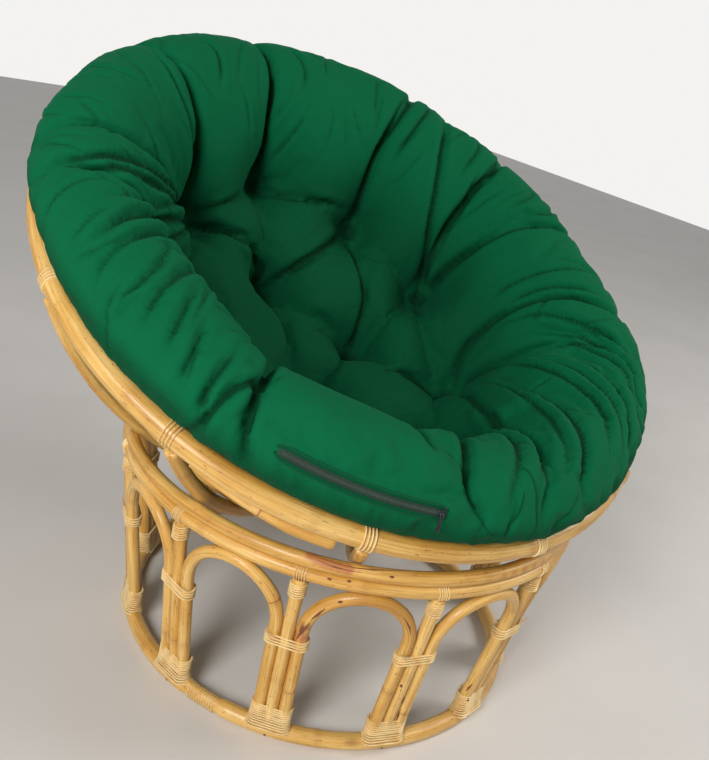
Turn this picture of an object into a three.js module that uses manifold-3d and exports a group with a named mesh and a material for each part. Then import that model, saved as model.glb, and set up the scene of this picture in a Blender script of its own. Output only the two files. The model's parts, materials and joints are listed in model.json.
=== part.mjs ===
// Papasan chair: a round tufted cushion in a shallow rattan bowl, which rests tilted on a ring of arched poles.
// Millimetres, +Z up. The bowl's low side, the front, faces -Y. The origin is on the floor under the chair's middle.
import * as THREE from "three";
import { mergeVertices } from "three/addons/utils/BufferGeometryUtils.js";
import Module from "manifold-3d";

const wasm = await Module();
wasm.setup();

// Gap between pieces that touch on the real chair
const clearance = 0.3;

// Base: two stacked hoops over one foot hoop, with arches and posts between
const stationCount = 12;
const footHoopRadius = 316;
const footHoopPole = 25;
const topHoopRadius = 354;
const topHoopPole = 19.5;
const lowerHoopHeight = 303.5;
const postPole = 18.6;
const archPole = 18;
const archSpringHeight = 208;

// Cane bindings on the base
const footStrandWidth = 5.6;
const midStrandWidth = 4.6;
const collarStrandWidth = 3.6;
const strandThickness = 2;
const strandGap = 0.6;
const footBindingTurns = 4;
const midBindingTurns = 3;
const collarTurns = 2;
const spliceTurns = 5;
const spliceTurnFromFront = THREE.MathUtils.degToRad(-63);
const footBindingHeight = 42;
const midBindingHeight = 186;
const collarDrop = 18;
const tuck = 0.9;

// Bowl: a sphere-shaped basket whose centre lies on the base's axis
const bowlTilt = THREE.MathUtils.degToRad(25);
const bowlRadius = 531;
const rimDrop = 182;
const rimPole = 31;
const rimInset = 8.3;
const ribPole = 20;
const innerHoopPole = 14;
const midHoopPole = 14;
const bottomRingPole = 16;
const ribCount = 12;
const ribTurn = THREE.MathUtils.degToRad(3);
const ribPass = THREE.MathUtils.degToRad(17);
const midHoopAngle = THREE.MathUtils.degToRad(46);
const bottomRingAngle = THREE.MathUtils.degToRad(23);
const ringBite = 5;
const ribOvershoot = 16;
const ribEndGap = 1.4;
const rimStrandWidth = 4.6;
const rimBindingTurns = 3;
const lapThinPole = 10;
const lapThickPole = 22;
const lapFrom = THREE.MathUtils.degToRad(-143);
const lapThickest = THREE.MathUtils.degToRad(-127);
const lapTo = THREE.MathUtils.degToRad(-120.5);

// Cushion: a dished, tufted disc with a thick rolled edge that lies on the rim
const seatThickness = 114;
const rollInset = 36;
const seatEdgeInset = 128;
const rollHalfWidth = 52;
const rollHalfHeight = 43;
// Across and up from the roll's middle, from its inner wall over the top to its foot on the rim
const rollShares = [
  [-1.58, -0.4], [-0.8, 0.7], [0, 1], [0.74, 0.62], [1, -0.1], [0.88, -0.74], [0.62, -1], [0.3, -1],
];
const outerTuftCount = 9;
const outerTuftInset = 41;
const outerTuftTurn = THREE.MathUtils.degToRad(18);
const innerTuftCount = 3;
const innerTuftRing = 115;
const innerTuftTurn = THREE.MathUtils.degToRad(-2);
const tuftDepth = 46;
const tuftWidth = 36;
const creaseDepth = 15;
const creaseSpread = THREE.MathUtils.degToRad(4);
const undersideTuftShare = 0.3;

// Zip along the front of the cushion's edge
const zipFrom = THREE.MathUtils.degToRad(-134);
const zipTo = THREE.MathUtils.degToRad(-110);
const zipTapeWidth = 16;
const zipTapeThickness = 1.2;
const zipFace = THREE.MathUtils.degToRad(50);
const sliderLength = 12;
const sliderWidth = 9;
const sliderThickness = 3.5;
const pullLength = 24;
const pullWidth = 6;
const pullThickness = 1.6;

// Fineness
const poleSides = 8;
const ribSides = 6;
const footSegments = 48;
const topSegments = 60;
const rimSegments = 48;
const ringSegments = 24;
const midHoopSegments = 36;
const archSteps = 8;
const ribSteps = 8;
const turnPoints = 8;
const coarsePoints = 6;
const cushionColumns = 36;
const seatRings = 13;
const rollRings = 13;
const undersideRings = 6;
const cornerFactor = 1 / Math.cos(Math.PI / poleSides);

// Sizes that follow from the ones above
const upperHoopHeight = lowerHoopHeight + topHoopPole + clearance;
const spliceWaist = footHoopPole - 2 * (clearance + strandThickness);
const spliceSegment = Math.floor(((spliceTurnFromFront - Math.PI / 2) / (2 * Math.PI)) * footSegments);
const spliceAngle = (2 * Math.PI * (spliceSegment + 0.5)) / footSegments;
const lean = Math.atan((topHoopRadius - footHoopRadius) / (lowerHoopHeight - footHoopPole));
const poleFoot = footHoopPole + clearance + (postPole / 2) * Math.sin(lean);
const poleTop = lowerHoopHeight - topHoopPole / 2 - clearance - (postPole / 2) * Math.sin(lean);
const poleSpacing = postPole / 2 + archPole / 2 + clearance;
const archCrown = lowerHoopHeight - topHoopPole / 2 - clearance - archPole / 2;
const hoopChord = topHoopRadius * Math.cos(Math.PI / topSegments);
const bowlReach = bowlRadius + ribPole / 2 + clearance + topHoopPole / 2;
const bowlCentreHeight = upperHoopHeight + Math.sqrt(bowlReach ** 2 - hoopChord ** 2);
const rimSphere = bowlRadius - rimInset;
const rimRadius = Math.sqrt(rimSphere ** 2 - rimDrop ** 2);
const rimAngle = Math.acos(rimDrop / rimSphere);
const rimBindingReach = (rimPole / 2 + clearance) * cornerFactor + strandThickness;
const ribSlant = Math.asin(Math.sin(ribPass) / Math.sin(rimAngle));
const ribEndDrop = rimBindingReach + ribEndGap + (ribPole / 2) * Math.sin(ribSlant);
const ribTopAngle = Math.acos(rimDrop / bowlRadius) - ribEndDrop / bowlRadius;
const midHoopSphere = bowlRadius - ribPole / 2 - clearance - (midHoopPole / 2) * cornerFactor;
const bottomRingSphere = bowlRadius - ribPole / 2 - bottomRingPole / 2 + ringBite;
const innerHoopRadius = rimRadius - rimBindingReach / cornerFactor - clearance - innerHoopPole / 2;
const undersideSphere = midHoopSphere - midHoopPole / 2 - clearance;
const innerHoopChord = innerHoopRadius * Math.cos(Math.PI / rimSegments);
const innerHoopInside = innerHoopChord - (innerHoopPole / 2) * cornerFactor - clearance;
const undersideEdge = Math.asin(innerHoopInside / undersideSphere);
const seatRadius = undersideSphere - seatThickness;
const rollRadius = rimRadius - rollInset;
const seatEdgeRadius = rollRadius - seatEdgeInset;
const outerTuftRing = seatEdgeRadius - outerTuftInset;
const rollFoot = rimBindingReach / cornerFactor + clearance - rimDrop;
const rollMiddle = rollFoot + rollHalfHeight;

// Finishes
const rattan = new THREE.MeshStandardMaterial({ color: 0xd9ab5c, roughness: 0.45, metalness: 0 });
const cane = new THREE.MeshStandardMaterial({ color: 0xe6c88c, roughness: 0.5, metalness: 0 });
const cotton = new THREE.MeshStandardMaterial({ color: 0x03693c, roughness: 0.9, metalness: 0 });
const zipCloth = new THREE.MeshStandardMaterial({ color: 0x10201a, roughness: 0.8, metalness: 0 });
const zipMetal = new THREE.MeshStandardMaterial({ color: 0x2b2f33, roughness: 0.35, metalness: 1 });

const chair = new THREE.Group();
const base = new THREE.Group();
const bowl = new THREE.Group();
chair.add(base, bowl);

function place(name, geometry, material, parent) {
  const mesh = new THREE.Mesh(geometry, material);
  mesh.name = name;
  parent.add(mesh);
  return mesh;
}

const numbered = (name, index) => `${name}_${String(index + 1).padStart(2, "0")}`;

// A point at an angle round the axis, at a radius and a height.
const around = (angle, radius, height) =>
  new THREE.Vector3(radius * Math.cos(angle), radius * Math.sin(angle), height);

// A path through its own points, with each section's first axis turned to a chosen side.
class PolePath extends THREE.Curve {
  constructor(points, sides) {
    super();
    this.points = points;
    this.sides = sides;
  }
  getPoint(share) {
    return this.points[Math.round(share * (this.points.length - 1))].clone();
  }
  getSpacedPoints() {
    return this.points;
  }
  computeFrenetFrames() {
    const last = this.points.length - 1;
    const tangents = this.points.map((point, i) => {
      const before = this.points[Math.max(i - 1, 0)];
      const after = this.points[Math.min(i + 1, last)];
      const into = point.clone().sub(before).normalize();
      const out = after.clone().sub(point).normalize();
      return into.add(out).normalize();
    });
    const normals = tangents.map((tangent, i) =>
      this.sides[i].clone().addScaledVector(tangent, -this.sides[i].dot(tangent)).normalize());
    const binormals = tangents.map((tangent, i) => tangent.clone().cross(normals[i]));
    return { tangents, normals, binormals };
  }
}

function sweep(points, sides, outline) {
  const path = new PolePath(points, sides);
  return new THREE.ExtrudeGeometry(outline, { steps: points.length - 1, extrudePath: path, bevelEnabled: false });
}

// A round pole's section, as a polygon with its corners on the circle.
function poleOutline(diameter, sides = poleSides) {
  const corners = Array.from({ length: sides }, (_, i) => {
    const angle = (2 * Math.PI * i) / sides;
    return new THREE.Vector2(Math.cos(angle), Math.sin(angle)).multiplyScalar(diameter / 2);
  });
  return new THREE.Shape(corners);
}

// A strand of split cane: flat against the pole, with a low ridge outside.
function strandOutline(width) {
  return new THREE.Shape([
    new THREE.Vector2(0, -width / 2),
    new THREE.Vector2(strandThickness, 0),
    new THREE.Vector2(0, width / 2),
  ]);
}

// A pole bent into a full hoop, with flats on top and below.
function hoop(radius, pole, height, segments, turn) {
  const corner = (pole / 2) * cornerFactor;
  const profile = Array.from({ length: poleSides + 1 }, (_, i) => {
    const angle = (2 * Math.PI * (i + 0.5)) / poleSides;
    return new THREE.Vector2(radius + corner * Math.cos(angle), height + corner * Math.sin(angle));
  });
  profile[poleSides].copy(profile[0]);
  const ring = new THREE.LatheGeometry(profile, segments);
  ring.rotateX(Math.PI / 2);
  ring.rotateZ(turn + Math.PI / 2);
  return ring;
}

// Manifold-3d joins closed shapes whose shared corners are merged.
function solid(geometry) {
  const bare = geometry.index ? geometry.toNonIndexed() : geometry.clone();
  bare.deleteAttribute("normal");
  bare.deleteAttribute("uv");
  const merged = mergeVertices(bare, 1e-4);
  return new wasm.Manifold(new wasm.Mesh({
    numProp: 3,
    vertProperties: merged.attributes.position.array,
    triVerts: new Uint32Array(merged.index.array),
  }));
}

function joined(geometries) {
  const mesh = geometries.map(solid).reduce((whole, next) => whole.add(next)).getMesh();
  const geometry = new THREE.BufferGeometry();
  geometry.setAttribute("position", new THREE.BufferAttribute(mesh.vertProperties, 3));
  geometry.setIndex(new THREE.BufferAttribute(mesh.triVerts, 1));
  return geometry;
}

// A helix of cane round one pole, or round poles side by side.
// Its frame has a centre, an axis, and a spread direction in which the outer poles lie.
function winding({ centre, axis, spread, halfSpread, radius, width, turns, points = turnPoints, tucked = 0 }) {
  const front = spread.clone().cross(axis).normalize();
  const pitch = width + strandGap;
  const corner = radius / Math.cos(Math.PI / points);
  const steps = turns * points;
  const path = [];
  const sides = [];
  const at = (across, out, along) => centre.clone().addScaledVector(spread, across)
    .addScaledVector(front, out).addScaledVector(axis, along);
  if (tucked > 0) {
    path.push(at(0, radius - tucked, -pitch * turns / 2));
    sides.push(front.clone());
  }
  for (let i = 0; i < steps; i++) {
    const angle = Math.PI / 2 - (2 * Math.PI * (i + 0.5)) / points;
    const across = corner * Math.cos(angle) + Math.sign(Math.cos(angle)) * halfSpread;
    const along = pitch * ((i + 0.5) / points - turns / 2);
    path.push(at(across, corner * Math.sin(angle), along));
    sides.push(spread.clone().multiplyScalar(Math.cos(angle)).addScaledVector(front, Math.sin(angle)));
  }
  if (tucked > 0) {
    path.push(at(0, radius - tucked, pitch * turns / 2));
    sides.push(front.clone());
  }
  return { path, sides, geometry: sweep(path, sides, strandOutline(width)) };
}

// Least gap of a winding to itself, between section corners at least half a turn apart.
function leastGap({ path, sides }, width, points) {
  const frames = new PolePath(path, sides).computeFrenetFrames();
  const edges = path.map((point, i) => [-0.5, 0.5].map((share) =>
    point.clone().addScaledVector(frames.binormals[i], share * width)));
  let least = Infinity;
  for (let i = 0; i < edges.length; i++) {
    for (let j = i + points - 1; j < edges.length; j++) {
      for (const a of edges[i]) {
        for (const b of edges[j]) least = Math.min(least, a.distanceTo(b));
      }
    }
  }
  return least;
}

// Base

const stationAngle = (2 * Math.PI) / stationCount;
const wallRadius = (height) => footHoopRadius + Math.tan(lean) * (height - footHoopPole);

// A station's frame at a height on its post: the point, the post's axis, and the way the arch legs lie.
function station(index, height) {
  const angle = stationAngle * (index + 0.5);
  const outward = around(angle, 1, 0);
  return {
    angle,
    outward,
    centre: around(angle, wallRadius(height), height),
    axis: outward.clone().multiplyScalar(Math.sin(lean)).setZ(Math.cos(lean)),
    spread: around(angle + Math.PI / 2, 1, 0),
  };
}

// An arch: two legs beside their posts, joined by a round crown under the lower hoop.
function arch(index) {
  const middle = stationAngle * index;
  const legOffset = (height) => stationAngle / 2 - Math.atan(poleSpacing / wallRadius(height));
  const legRadius = (height) => Math.hypot(wallRadius(height), poleSpacing);
  const points = [around(middle - legOffset(poleFoot), legRadius(poleFoot), poleFoot)];
  for (let i = 0; i <= archSteps; i++) {
    const turn = Math.PI * (1 - i / archSteps);
    const height = archSpringHeight + (archCrown - archSpringHeight) * Math.sin(turn);
    points.push(around(middle + legOffset(archSpringHeight) * Math.cos(turn), legRadius(height), height));
  }
  points.push(around(middle + legOffset(poleFoot), legRadius(poleFoot), poleFoot));
  const sides = points.map((point) => new THREE.Vector3(point.x, point.y, 0).normalize());
  return sweep(points, sides, poleOutline(archPole));
}

// A post with the bindings it carries: one at mid height round its neighbours too, and a tied collar on top.
function post(index) {
  const bottom = station(index, poleFoot);
  const top = station(index, poleTop);
  const pole = sweep([bottom.centre, top.centre], [bottom.outward, top.outward], poleOutline(postPole));
  const mid = station(index, midBindingHeight);
  const midBinding = winding({
    ...mid, halfSpread: poleSpacing, radius: postPole / 2 + clearance,
    width: midStrandWidth, turns: midBindingTurns, points: coarsePoints, tucked: tuck + clearance,
  });
  const collar = winding({
    ...station(index, poleTop - collarDrop), halfSpread: 0, radius: postPole / 2 + clearance,
    width: collarStrandWidth, turns: collarTurns, points: coarsePoints, tucked: tuck + clearance,
  });
  return { geometry: joined([pole, midBinding.geometry, collar.geometry]), midBinding, collar };
}

function footBinding(index) {
  return winding({
    ...station(index, footBindingHeight), halfSpread: poleSpacing, radius: postPole / 2 + clearance,
    width: footStrandWidth, turns: footBindingTurns,
  });
}

// The foot hoop's pole, whose lapped ends are pared down where the cane binds them.
function footHoop() {
  const ring = hoop(footHoopRadius, footHoopPole, footHoopPole / 2, footSegments, 0);
  const half = Math.PI / footSegments;
  const ends = [-half, half].map((turn) => around(spliceAngle + turn, footHoopRadius, footHoopPole / 2));
  const position = ring.attributes.position;
  const point = new THREE.Vector3();
  for (let i = 0; i < position.count; i++) {
    point.fromBufferAttribute(position, i);
    const end = ends.find((centre) => centre.distanceTo(point) < footHoopPole);
    if (!end) continue;
    point.sub(end).multiplyScalar(spliceWaist / footHoopPole).add(end);
    position.setXYZ(i, point.x, point.y, point.z);
  }
  return ring;
}

// The binding over the foot hoop's joint, which stays above the floor.
function spliceBinding() {
  return winding({
    centre: around(spliceAngle, footHoopRadius * Math.cos(Math.PI / footSegments), footHoopPole / 2),
    axis: around(spliceAngle + Math.PI / 2, 1, 0),
    spread: new THREE.Vector3(0, 0, 1),
    halfSpread: 0, radius: spliceWaist / 2 + clearance, width: footStrandWidth, turns: spliceTurns,
  });
}

function buildBase() {
  place("splice_binding", spliceBinding().geometry, cane, base);
  place("foot_hoop", footHoop(), rattan, base);
  place("lower_top_hoop", hoop(topHoopRadius, topHoopPole, lowerHoopHeight, topSegments, 0), rattan, base);
  place("upper_top_hoop", hoop(topHoopRadius, topHoopPole, upperHoopHeight, topSegments, 0), rattan, base);
  for (let i = 0; i < stationCount; i++) {
    place(numbered("arch", i), arch(i), rattan, base);
    const made = post(i);
    place(numbered("post", i), made.geometry, rattan, base);
    const tied = footBinding(i);
    place(numbered("foot_binding", i), tied.geometry, cane, base);
    if (i === 0) {
      console.log("least gap in a mid binding", leastGap(made.midBinding, midStrandWidth, coarsePoints).toFixed(2));
      console.log("least gap in a collar", leastGap(made.collar, collarStrandWidth, coarsePoints).toFixed(2));
      console.log("least gap in a foot binding", leastGap(tied, footStrandWidth, turnPoints).toFixed(2));
    }
  }
}

// Bowl: its own frame has the sphere's centre at the origin and the rim below it, square to Z

// A point on a sphere round the bowl's centre, at an angle from straight down and an angle round.
const onSphere = (radius, down, angle) => around(angle, radius * Math.sin(down), -radius * Math.cos(down));

// How far a rib has turned round the axis at an angle from straight down, on its way past the bottom.
const ribBearing = (down) => Math.acos(Math.min(1, Math.tan(ribPass) / Math.tan(down)));

const ribAngle = (index) => ribTurn + (2 * Math.PI * index) / ribCount;

function rib(index) {
  const end = bottomRingAngle - ribOvershoot / bowlRadius;
  const points = Array.from({ length: ribSteps + 1 }, (_, i) => {
    const down = ribTopAngle + (end - ribTopAngle) * (i / ribSteps);
    return onSphere(bowlRadius, down, ribAngle(index) + ribBearing(rimAngle) - ribBearing(down));
  });
  return sweep(points, points.map((point) => point.clone().normalize()), poleOutline(ribPole, ribSides));
}

const ringOn = (sphere, down, pole, segments, turn) =>
  hoop(sphere * Math.sin(down), pole, -sphere * Math.cos(down), segments, turn);

function rimBinding(index) {
  const angle = ribAngle(index);
  return winding({
    centre: around(angle, rimRadius * Math.cos(Math.PI / rimSegments), -rimDrop),
    axis: around(angle + Math.PI / 2, 1, 0),
    spread: new THREE.Vector3(0, 0, 1),
    halfSpread: 0, radius: rimPole / 2 + clearance, width: rimStrandWidth, turns: rimBindingTurns,
  });
}

// The tapered end of the rim's pole, which laps under the rim and is bound to it.
function rimLap() {
  const steps = 8;
  const points = [];
  const sides = [];
  const widths = [];
  for (let i = 0; i <= steps; i++) {
    const angle = lapFrom + (lapTo - lapFrom) * (i / steps);
    const share = Math.min(1, (angle - lapFrom) / (lapThickest - lapFrom));
    const pole = lapThinPole + (lapThickPole - lapThinPole) * share;
    points.push(around(angle, rimRadius, -rimDrop - rimPole / 2 - clearance - pole / 2));
    sides.push(around(angle, 1, 0));
    widths.push(pole);
  }
  const lap = sweep(points, sides, poleOutline(lapThinPole));
  taper(lap, points, widths.map((pole) => pole / lapThinPole));
  return lap;
}

// Widens each ring of a swept pole about its own centre.
function taper(geometry, centres, factors) {
  const position = geometry.attributes.position;
  const point = new THREE.Vector3();
  for (let i = 0; i < position.count; i++) {
    point.fromBufferAttribute(position, i);
    const distances = centres.map((centre) => centre.distanceTo(point));
    const nearest = distances.indexOf(Math.min(...distances));
    point.sub(centres[nearest]).multiplyScalar(factors[nearest]).add(centres[nearest]);
    position.setXYZ(i, point.x, point.y, point.z);
  }
}

function buildBowl() {
  const midChord = ribTurn + Math.PI / rimSegments;
  const ribs = Array.from({ length: ribCount }, (_, i) => rib(i));
  const bottomRing = ringOn(bottomRingSphere, bottomRingAngle, bottomRingPole, ringSegments, 0);
  const midTurn = ribTurn + ribBearing(rimAngle) - ribBearing(midHoopAngle);
  place("bowl_rim", hoop(rimRadius, rimPole, -rimDrop, rimSegments, midChord), rattan, bowl);
  place("bowl_inner_hoop", hoop(innerHoopRadius, innerHoopPole, -rimDrop, rimSegments, midChord), rattan, bowl);
  place("bowl_mid_hoop", ringOn(midHoopSphere, midHoopAngle, midHoopPole, midHoopSegments, midTurn), rattan, bowl);
  place("bowl_ribs", joined([bottomRing, ...ribs]), rattan, bowl);
  place("bowl_rim_lap", rimLap(), rattan, bowl);
  for (let i = 0; i < ribCount; i++) place(numbered("rim_binding", i), rimBinding(i).geometry, cane, bowl);
}

// Cushion, in the bowl's own frame

// The cushion's outline from the middle of its top, over the roll, to the middle of its underside.
function cushionOutline() {
  const seatEdge = Math.asin(seatEdgeRadius / seatRadius);
  const seat = Array.from({ length: seatRings }, (_, i) => arcPoint(seatRadius, seatEdge * i / seatRings));
  const rollCurve = new THREE.SplineCurve([arcPoint(seatRadius, seatEdge), ...rollShares.map(([across, up]) =>
    new THREE.Vector2(rollRadius + across * rollHalfWidth, rollMiddle + up * rollHalfHeight))]);
  const inner = new THREE.Vector2(innerHoopInside, -rimDrop + innerHoopPole);
  const outer = new THREE.Vector2(innerHoopInside, -rimDrop - innerHoopPole);
  const underside = Array.from({ length: undersideRings + 1 }, (_, i) =>
    arcPoint(undersideSphere, undersideEdge * (1 - i / undersideRings)));
  return { top: [...seat, ...rollCurve.getSpacedPoints(rollRings)], bottom: [inner, outer, ...underside] };
}

const arcPoint = (radius, down) => new THREE.Vector2(radius * Math.sin(down), -radius * Math.cos(down));

// Where the tufts pull the cover in, as points on the seat.
function tufts() {
  const ringOfTufts = (count, radius, turn) => Array.from({ length: count }, (_, i) =>
    onSphere(seatRadius, Math.asin(radius / seatRadius), turn + (2 * Math.PI * i) / count));
  return {
    outer: ringOfTufts(outerTuftCount, outerTuftRing, outerTuftTurn),
    inner: ringOfTufts(innerTuftCount, innerTuftRing, innerTuftTurn),
  };
}

const smooth = (from, to, value) => THREE.MathUtils.smoothstep(value, from, to);

// How far the cover is drawn in at a point: a round hollow at each tuft, and a crease from it over the roll.
function drawnIn(point, angle, radius, height, all, isTop) {
  const hollow = [...all.outer, ...all.inner].reduce((sum, tuft) => {
    const flat = Math.hypot(point.x - tuft.x, point.y - tuft.y);
    return sum + Math.exp(-((flat / tuftWidth) ** 2));
  }, 0);
  if (!isTop) return tuftDepth * undersideTuftShare * hollow;
  const step = (2 * Math.PI) / outerTuftCount;
  const turn = Math.abs(((angle - outerTuftTurn) / step) - Math.round((angle - outerTuftTurn) / step)) * step;
  const reach = smooth(outerTuftRing, seatEdgeRadius, radius) * smooth(rollFoot, rollMiddle, height);
  return tuftDepth * hollow + creaseDepth * reach * Math.exp(-((turn / creaseSpread) ** 2));
}

// Every ring of the outline, turned round the axis and drawn in along its own normal.
function cushionRings() {
  const { top, bottom } = cushionOutline();
  const outline = [...top, ...bottom];
  const all = tufts();
  return outline.slice(1, -1).map(({ x: radius, y: height }, i) => {
    const along = outline[i + 2].clone().sub(outline[i]).normalize();
    return Array.from({ length: cushionColumns }, (_, column) => {
      const angle = outerTuftTurn + (2 * Math.PI * column) / cushionColumns;
      const point = around(angle, radius, height);
      const depth = drawnIn(point, angle, radius, height, all, i + 1 < top.length);
      return point.add(around(angle, along.y, -along.x).multiplyScalar(depth));
    });
  });
}

function cushion() {
  const { top, bottom } = cushionOutline();
  const rings = cushionRings();
  const points = [new THREE.Vector3(0, 0, top[0].y), ...rings.flat(), new THREE.Vector3(0, 0, bottom.at(-1).y)];
  const corner = (ring, column) => 1 + ring * cushionColumns + (column % cushionColumns);
  const faces = [];
  for (let column = 0; column < cushionColumns; column++) {
    faces.push(0, corner(0, column), corner(0, column + 1));
    for (let ring = 0; ring < rings.length - 1; ring++) {
      faces.push(corner(ring, column), corner(ring + 1, column), corner(ring + 1, column + 1));
      faces.push(corner(ring, column), corner(ring + 1, column + 1), corner(ring, column + 1));
    }
    faces.push(points.length - 1, corner(rings.length - 1, column + 1), corner(rings.length - 1, column));
  }
  const geometry = new THREE.BufferGeometry().setFromPoints(points);
  geometry.setIndex(faces);
  return geometry;
}

// The flat band of the roll that carries the zip: its middle, and the directions along and out of it.
function zipBand() {
  const { top } = cushionOutline();
  const bands = top.slice(seatRings, -1).map((from, i) => ({ from, to: top[seatRings + i + 1] }));
  const { from, to } = bands.find(({ from, to }) =>
    from.x > rollRadius && Math.atan2(from.y + to.y - 2 * rollMiddle, from.x + to.x - 2 * rollRadius) < zipFace);
  const down = to.clone().sub(from).normalize();
  return { middle: from.clone().add(to).multiplyScalar(0.5), down, out: new THREE.Vector2(-down.y, down.x) };
}

// A rectangle across a sweep, from one height over its path to another.
function bar(low, high, width) {
  return new THREE.Shape([
    new THREE.Vector2(low, -width / 2), new THREE.Vector2(high, -width / 2),
    new THREE.Vector2(high, width / 2), new THREE.Vector2(low, width / 2),
  ]);
}

// The zip's tape, which bends at the cushion's own columns.
function zipTape() {
  const { middle, out } = zipBand();
  const step = (2 * Math.PI) / cushionColumns;
  const first = Math.ceil((zipFrom - outerTuftTurn) / step);
  const last = Math.floor((zipTo - outerTuftTurn) / step);
  const columns = Array.from({ length: last - first + 1 }, (_, i) => outerTuftTurn + step * (first + i));
  const points = [zipFrom, ...columns, zipTo].map((angle) => {
    const part = (angle - outerTuftTurn) / step;
    const flat = Math.cos(step / 2) / Math.cos((part - Math.floor(part) - 0.5) * step);
    return around(angle, middle.x * flat, middle.y);
  });
  const sides = [zipFrom, ...columns, zipTo].map((angle) => around(angle, out.x, out.y));
  return sweep(points, sides, bar(clearance, clearance + zipTapeThickness, zipTapeWidth));
}

// The zip's slider with its pull, which lies down over the cushion's edge.
function zipSlider() {
  const { middle, down, out } = zipBand();
  const angle = zipTo - sliderLength / 2 / middle.x;
  const along = around(angle + Math.PI / 2, 1, 0);
  const centre = around(angle, middle.x, middle.y);
  const outward = around(angle, out.x, out.y);
  const low = clearance + zipTapeThickness + clearance;
  const body = sweep([-0.5, 0.5].map((share) => centre.clone().addScaledVector(along, share * sliderLength)),
    [outward, outward], bar(low, low + sliderThickness, sliderWidth));
  const downward = around(angle, down.x, down.y);
  const pullLow = low + sliderThickness - pullThickness / 2;
  const pull = sweep([0, pullLength].map((length) => centre.clone().addScaledVector(downward, length)),
    [outward, outward], bar(pullLow, pullLow + pullThickness, pullWidth));
  return joined([body, pull]);
}

function buildCushion() {
  place("cushion", cushion(), cotton, bowl);
  place("zip_tape", zipTape(), zipCloth, bowl);
  place("zip_slider", zipSlider(), zipMetal, bowl);
}

buildBase();
buildBowl();
buildCushion();

bowl.rotation.x = bowlTilt;
bowl.position.z = bowlCentreHeight;
const middle = new THREE.Box3().setFromObject(chair, true).getCenter(new THREE.Vector3());
chair.position.set(-middle.x, -middle.y, 0);
console.log("the chair is moved by", chair.position.x.toFixed(3), chair.position.y.toFixed(3));
console.log("height of the bowl's centre", bowlCentreHeight.toFixed(3), "radius of its rim", rimRadius.toFixed(3));

export default chair;
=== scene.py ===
# %% [markdown]
# # A papasan chair around its CAD frame
# The chair is a loose bowl of rattan poles that rests tilted on a ring of arched poles, with a deep tufted
# cushion in it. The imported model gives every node's place, the tilt's centre and the bowl's axis. Each piece
# below is made in that frame, in metres, and most of them replace the plain solid that they detail.

# %% Load the frame and read its measures
import bpy
import json
import numpy as np
from math import acos, asin, atan, cos, hypot, pi, radians, sin, sqrt, tan
from mathutils import Matrix, Vector


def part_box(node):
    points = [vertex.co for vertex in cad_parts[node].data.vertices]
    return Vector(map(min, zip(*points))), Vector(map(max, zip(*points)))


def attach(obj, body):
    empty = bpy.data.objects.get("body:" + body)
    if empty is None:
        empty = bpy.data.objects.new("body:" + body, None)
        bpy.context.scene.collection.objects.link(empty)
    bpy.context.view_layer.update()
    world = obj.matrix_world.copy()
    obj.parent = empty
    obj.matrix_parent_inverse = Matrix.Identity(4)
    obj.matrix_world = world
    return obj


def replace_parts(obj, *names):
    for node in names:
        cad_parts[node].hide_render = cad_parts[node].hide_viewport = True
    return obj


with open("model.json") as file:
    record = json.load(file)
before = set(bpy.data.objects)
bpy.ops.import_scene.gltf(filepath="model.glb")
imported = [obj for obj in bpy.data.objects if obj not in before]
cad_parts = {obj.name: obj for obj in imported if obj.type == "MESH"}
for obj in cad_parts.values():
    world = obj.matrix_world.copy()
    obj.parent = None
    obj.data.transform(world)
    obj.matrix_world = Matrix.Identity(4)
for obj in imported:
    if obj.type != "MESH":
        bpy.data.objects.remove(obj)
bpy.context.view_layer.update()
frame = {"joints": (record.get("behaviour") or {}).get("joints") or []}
MM = 0.001
joints = {joint["name"]: joint for joint in frame["joints"]}
bowl_centre = np.array(joints["bowl_tilt"]["pos_m"])
bowl_axis = np.array(joints["cushion_lift"]["axis"])
bowl_across = np.array([1.0, 0.0, 0.0])
bowl_up = np.cross(bowl_axis, bowl_across)
base_shift = np.array([0.0, bowl_centre[1], 0.0])
print("bowl's centre", bowl_centre.round(4), "axis", bowl_axis.round(4))


def ring_sizes(node):
    """Radius of a hoop's centreline, its pole's diameter and its height, from the node's box."""
    low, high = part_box(node)
    pole = high.z - low.z
    return (high.x - low.x) / 2 - pole / 2, pole, (high.z + low.z) / 2


foot_radius, foot_pole, foot_height = ring_sizes("foot_hoop")
top_radius, top_pole, lower_top_height = ring_sizes("lower_top_hoop")
upper_top_height = ring_sizes("upper_top_hoop")[2]
print("foot hoop", round(foot_radius, 4), "top hoops", round(top_radius, 4), round(upper_top_height, 4))

# %% [markdown]
# ## The camera
# The place and the turn were solved from the base's two hoops and the floor's straight lines in the photograph.
# The image is 709 by 760 pixels, so the lens is given on its height.

# %% Camera
camera_place = Vector((-0.83106, -1.03424, 0.93942))
camera_right = Vector((0.80583317, -0.55025839, 0.21874326))
camera_down = Vector((-0.04691257, -0.42757505, -0.90276176))
camera_forward = Vector((0.59028139, 0.71721356, -0.37036819))
lens_on_height = 41.450


def placed(name, data):
    """An object of this data, put into the scene."""
    made = bpy.data.objects.new(name, data)
    bpy.context.scene.collection.objects.link(made)
    return made


camera_data = bpy.data.cameras.new("photo_camera")
camera_data.sensor_fit = "VERTICAL"
camera_data.sensor_height = 36.0
camera_data.lens = lens_on_height
camera_data.clip_start = 0.05
camera = placed("photo_camera", camera_data)
turn = Matrix((camera_right, -camera_down, -camera_forward)).transposed()
camera.matrix_world = Matrix.Translation(camera_place) @ turn.to_4x4()
bpy.context.scene.camera = camera
print("camera", [round(v, 3) for v in camera_place], "lens", lens_on_height)

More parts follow.
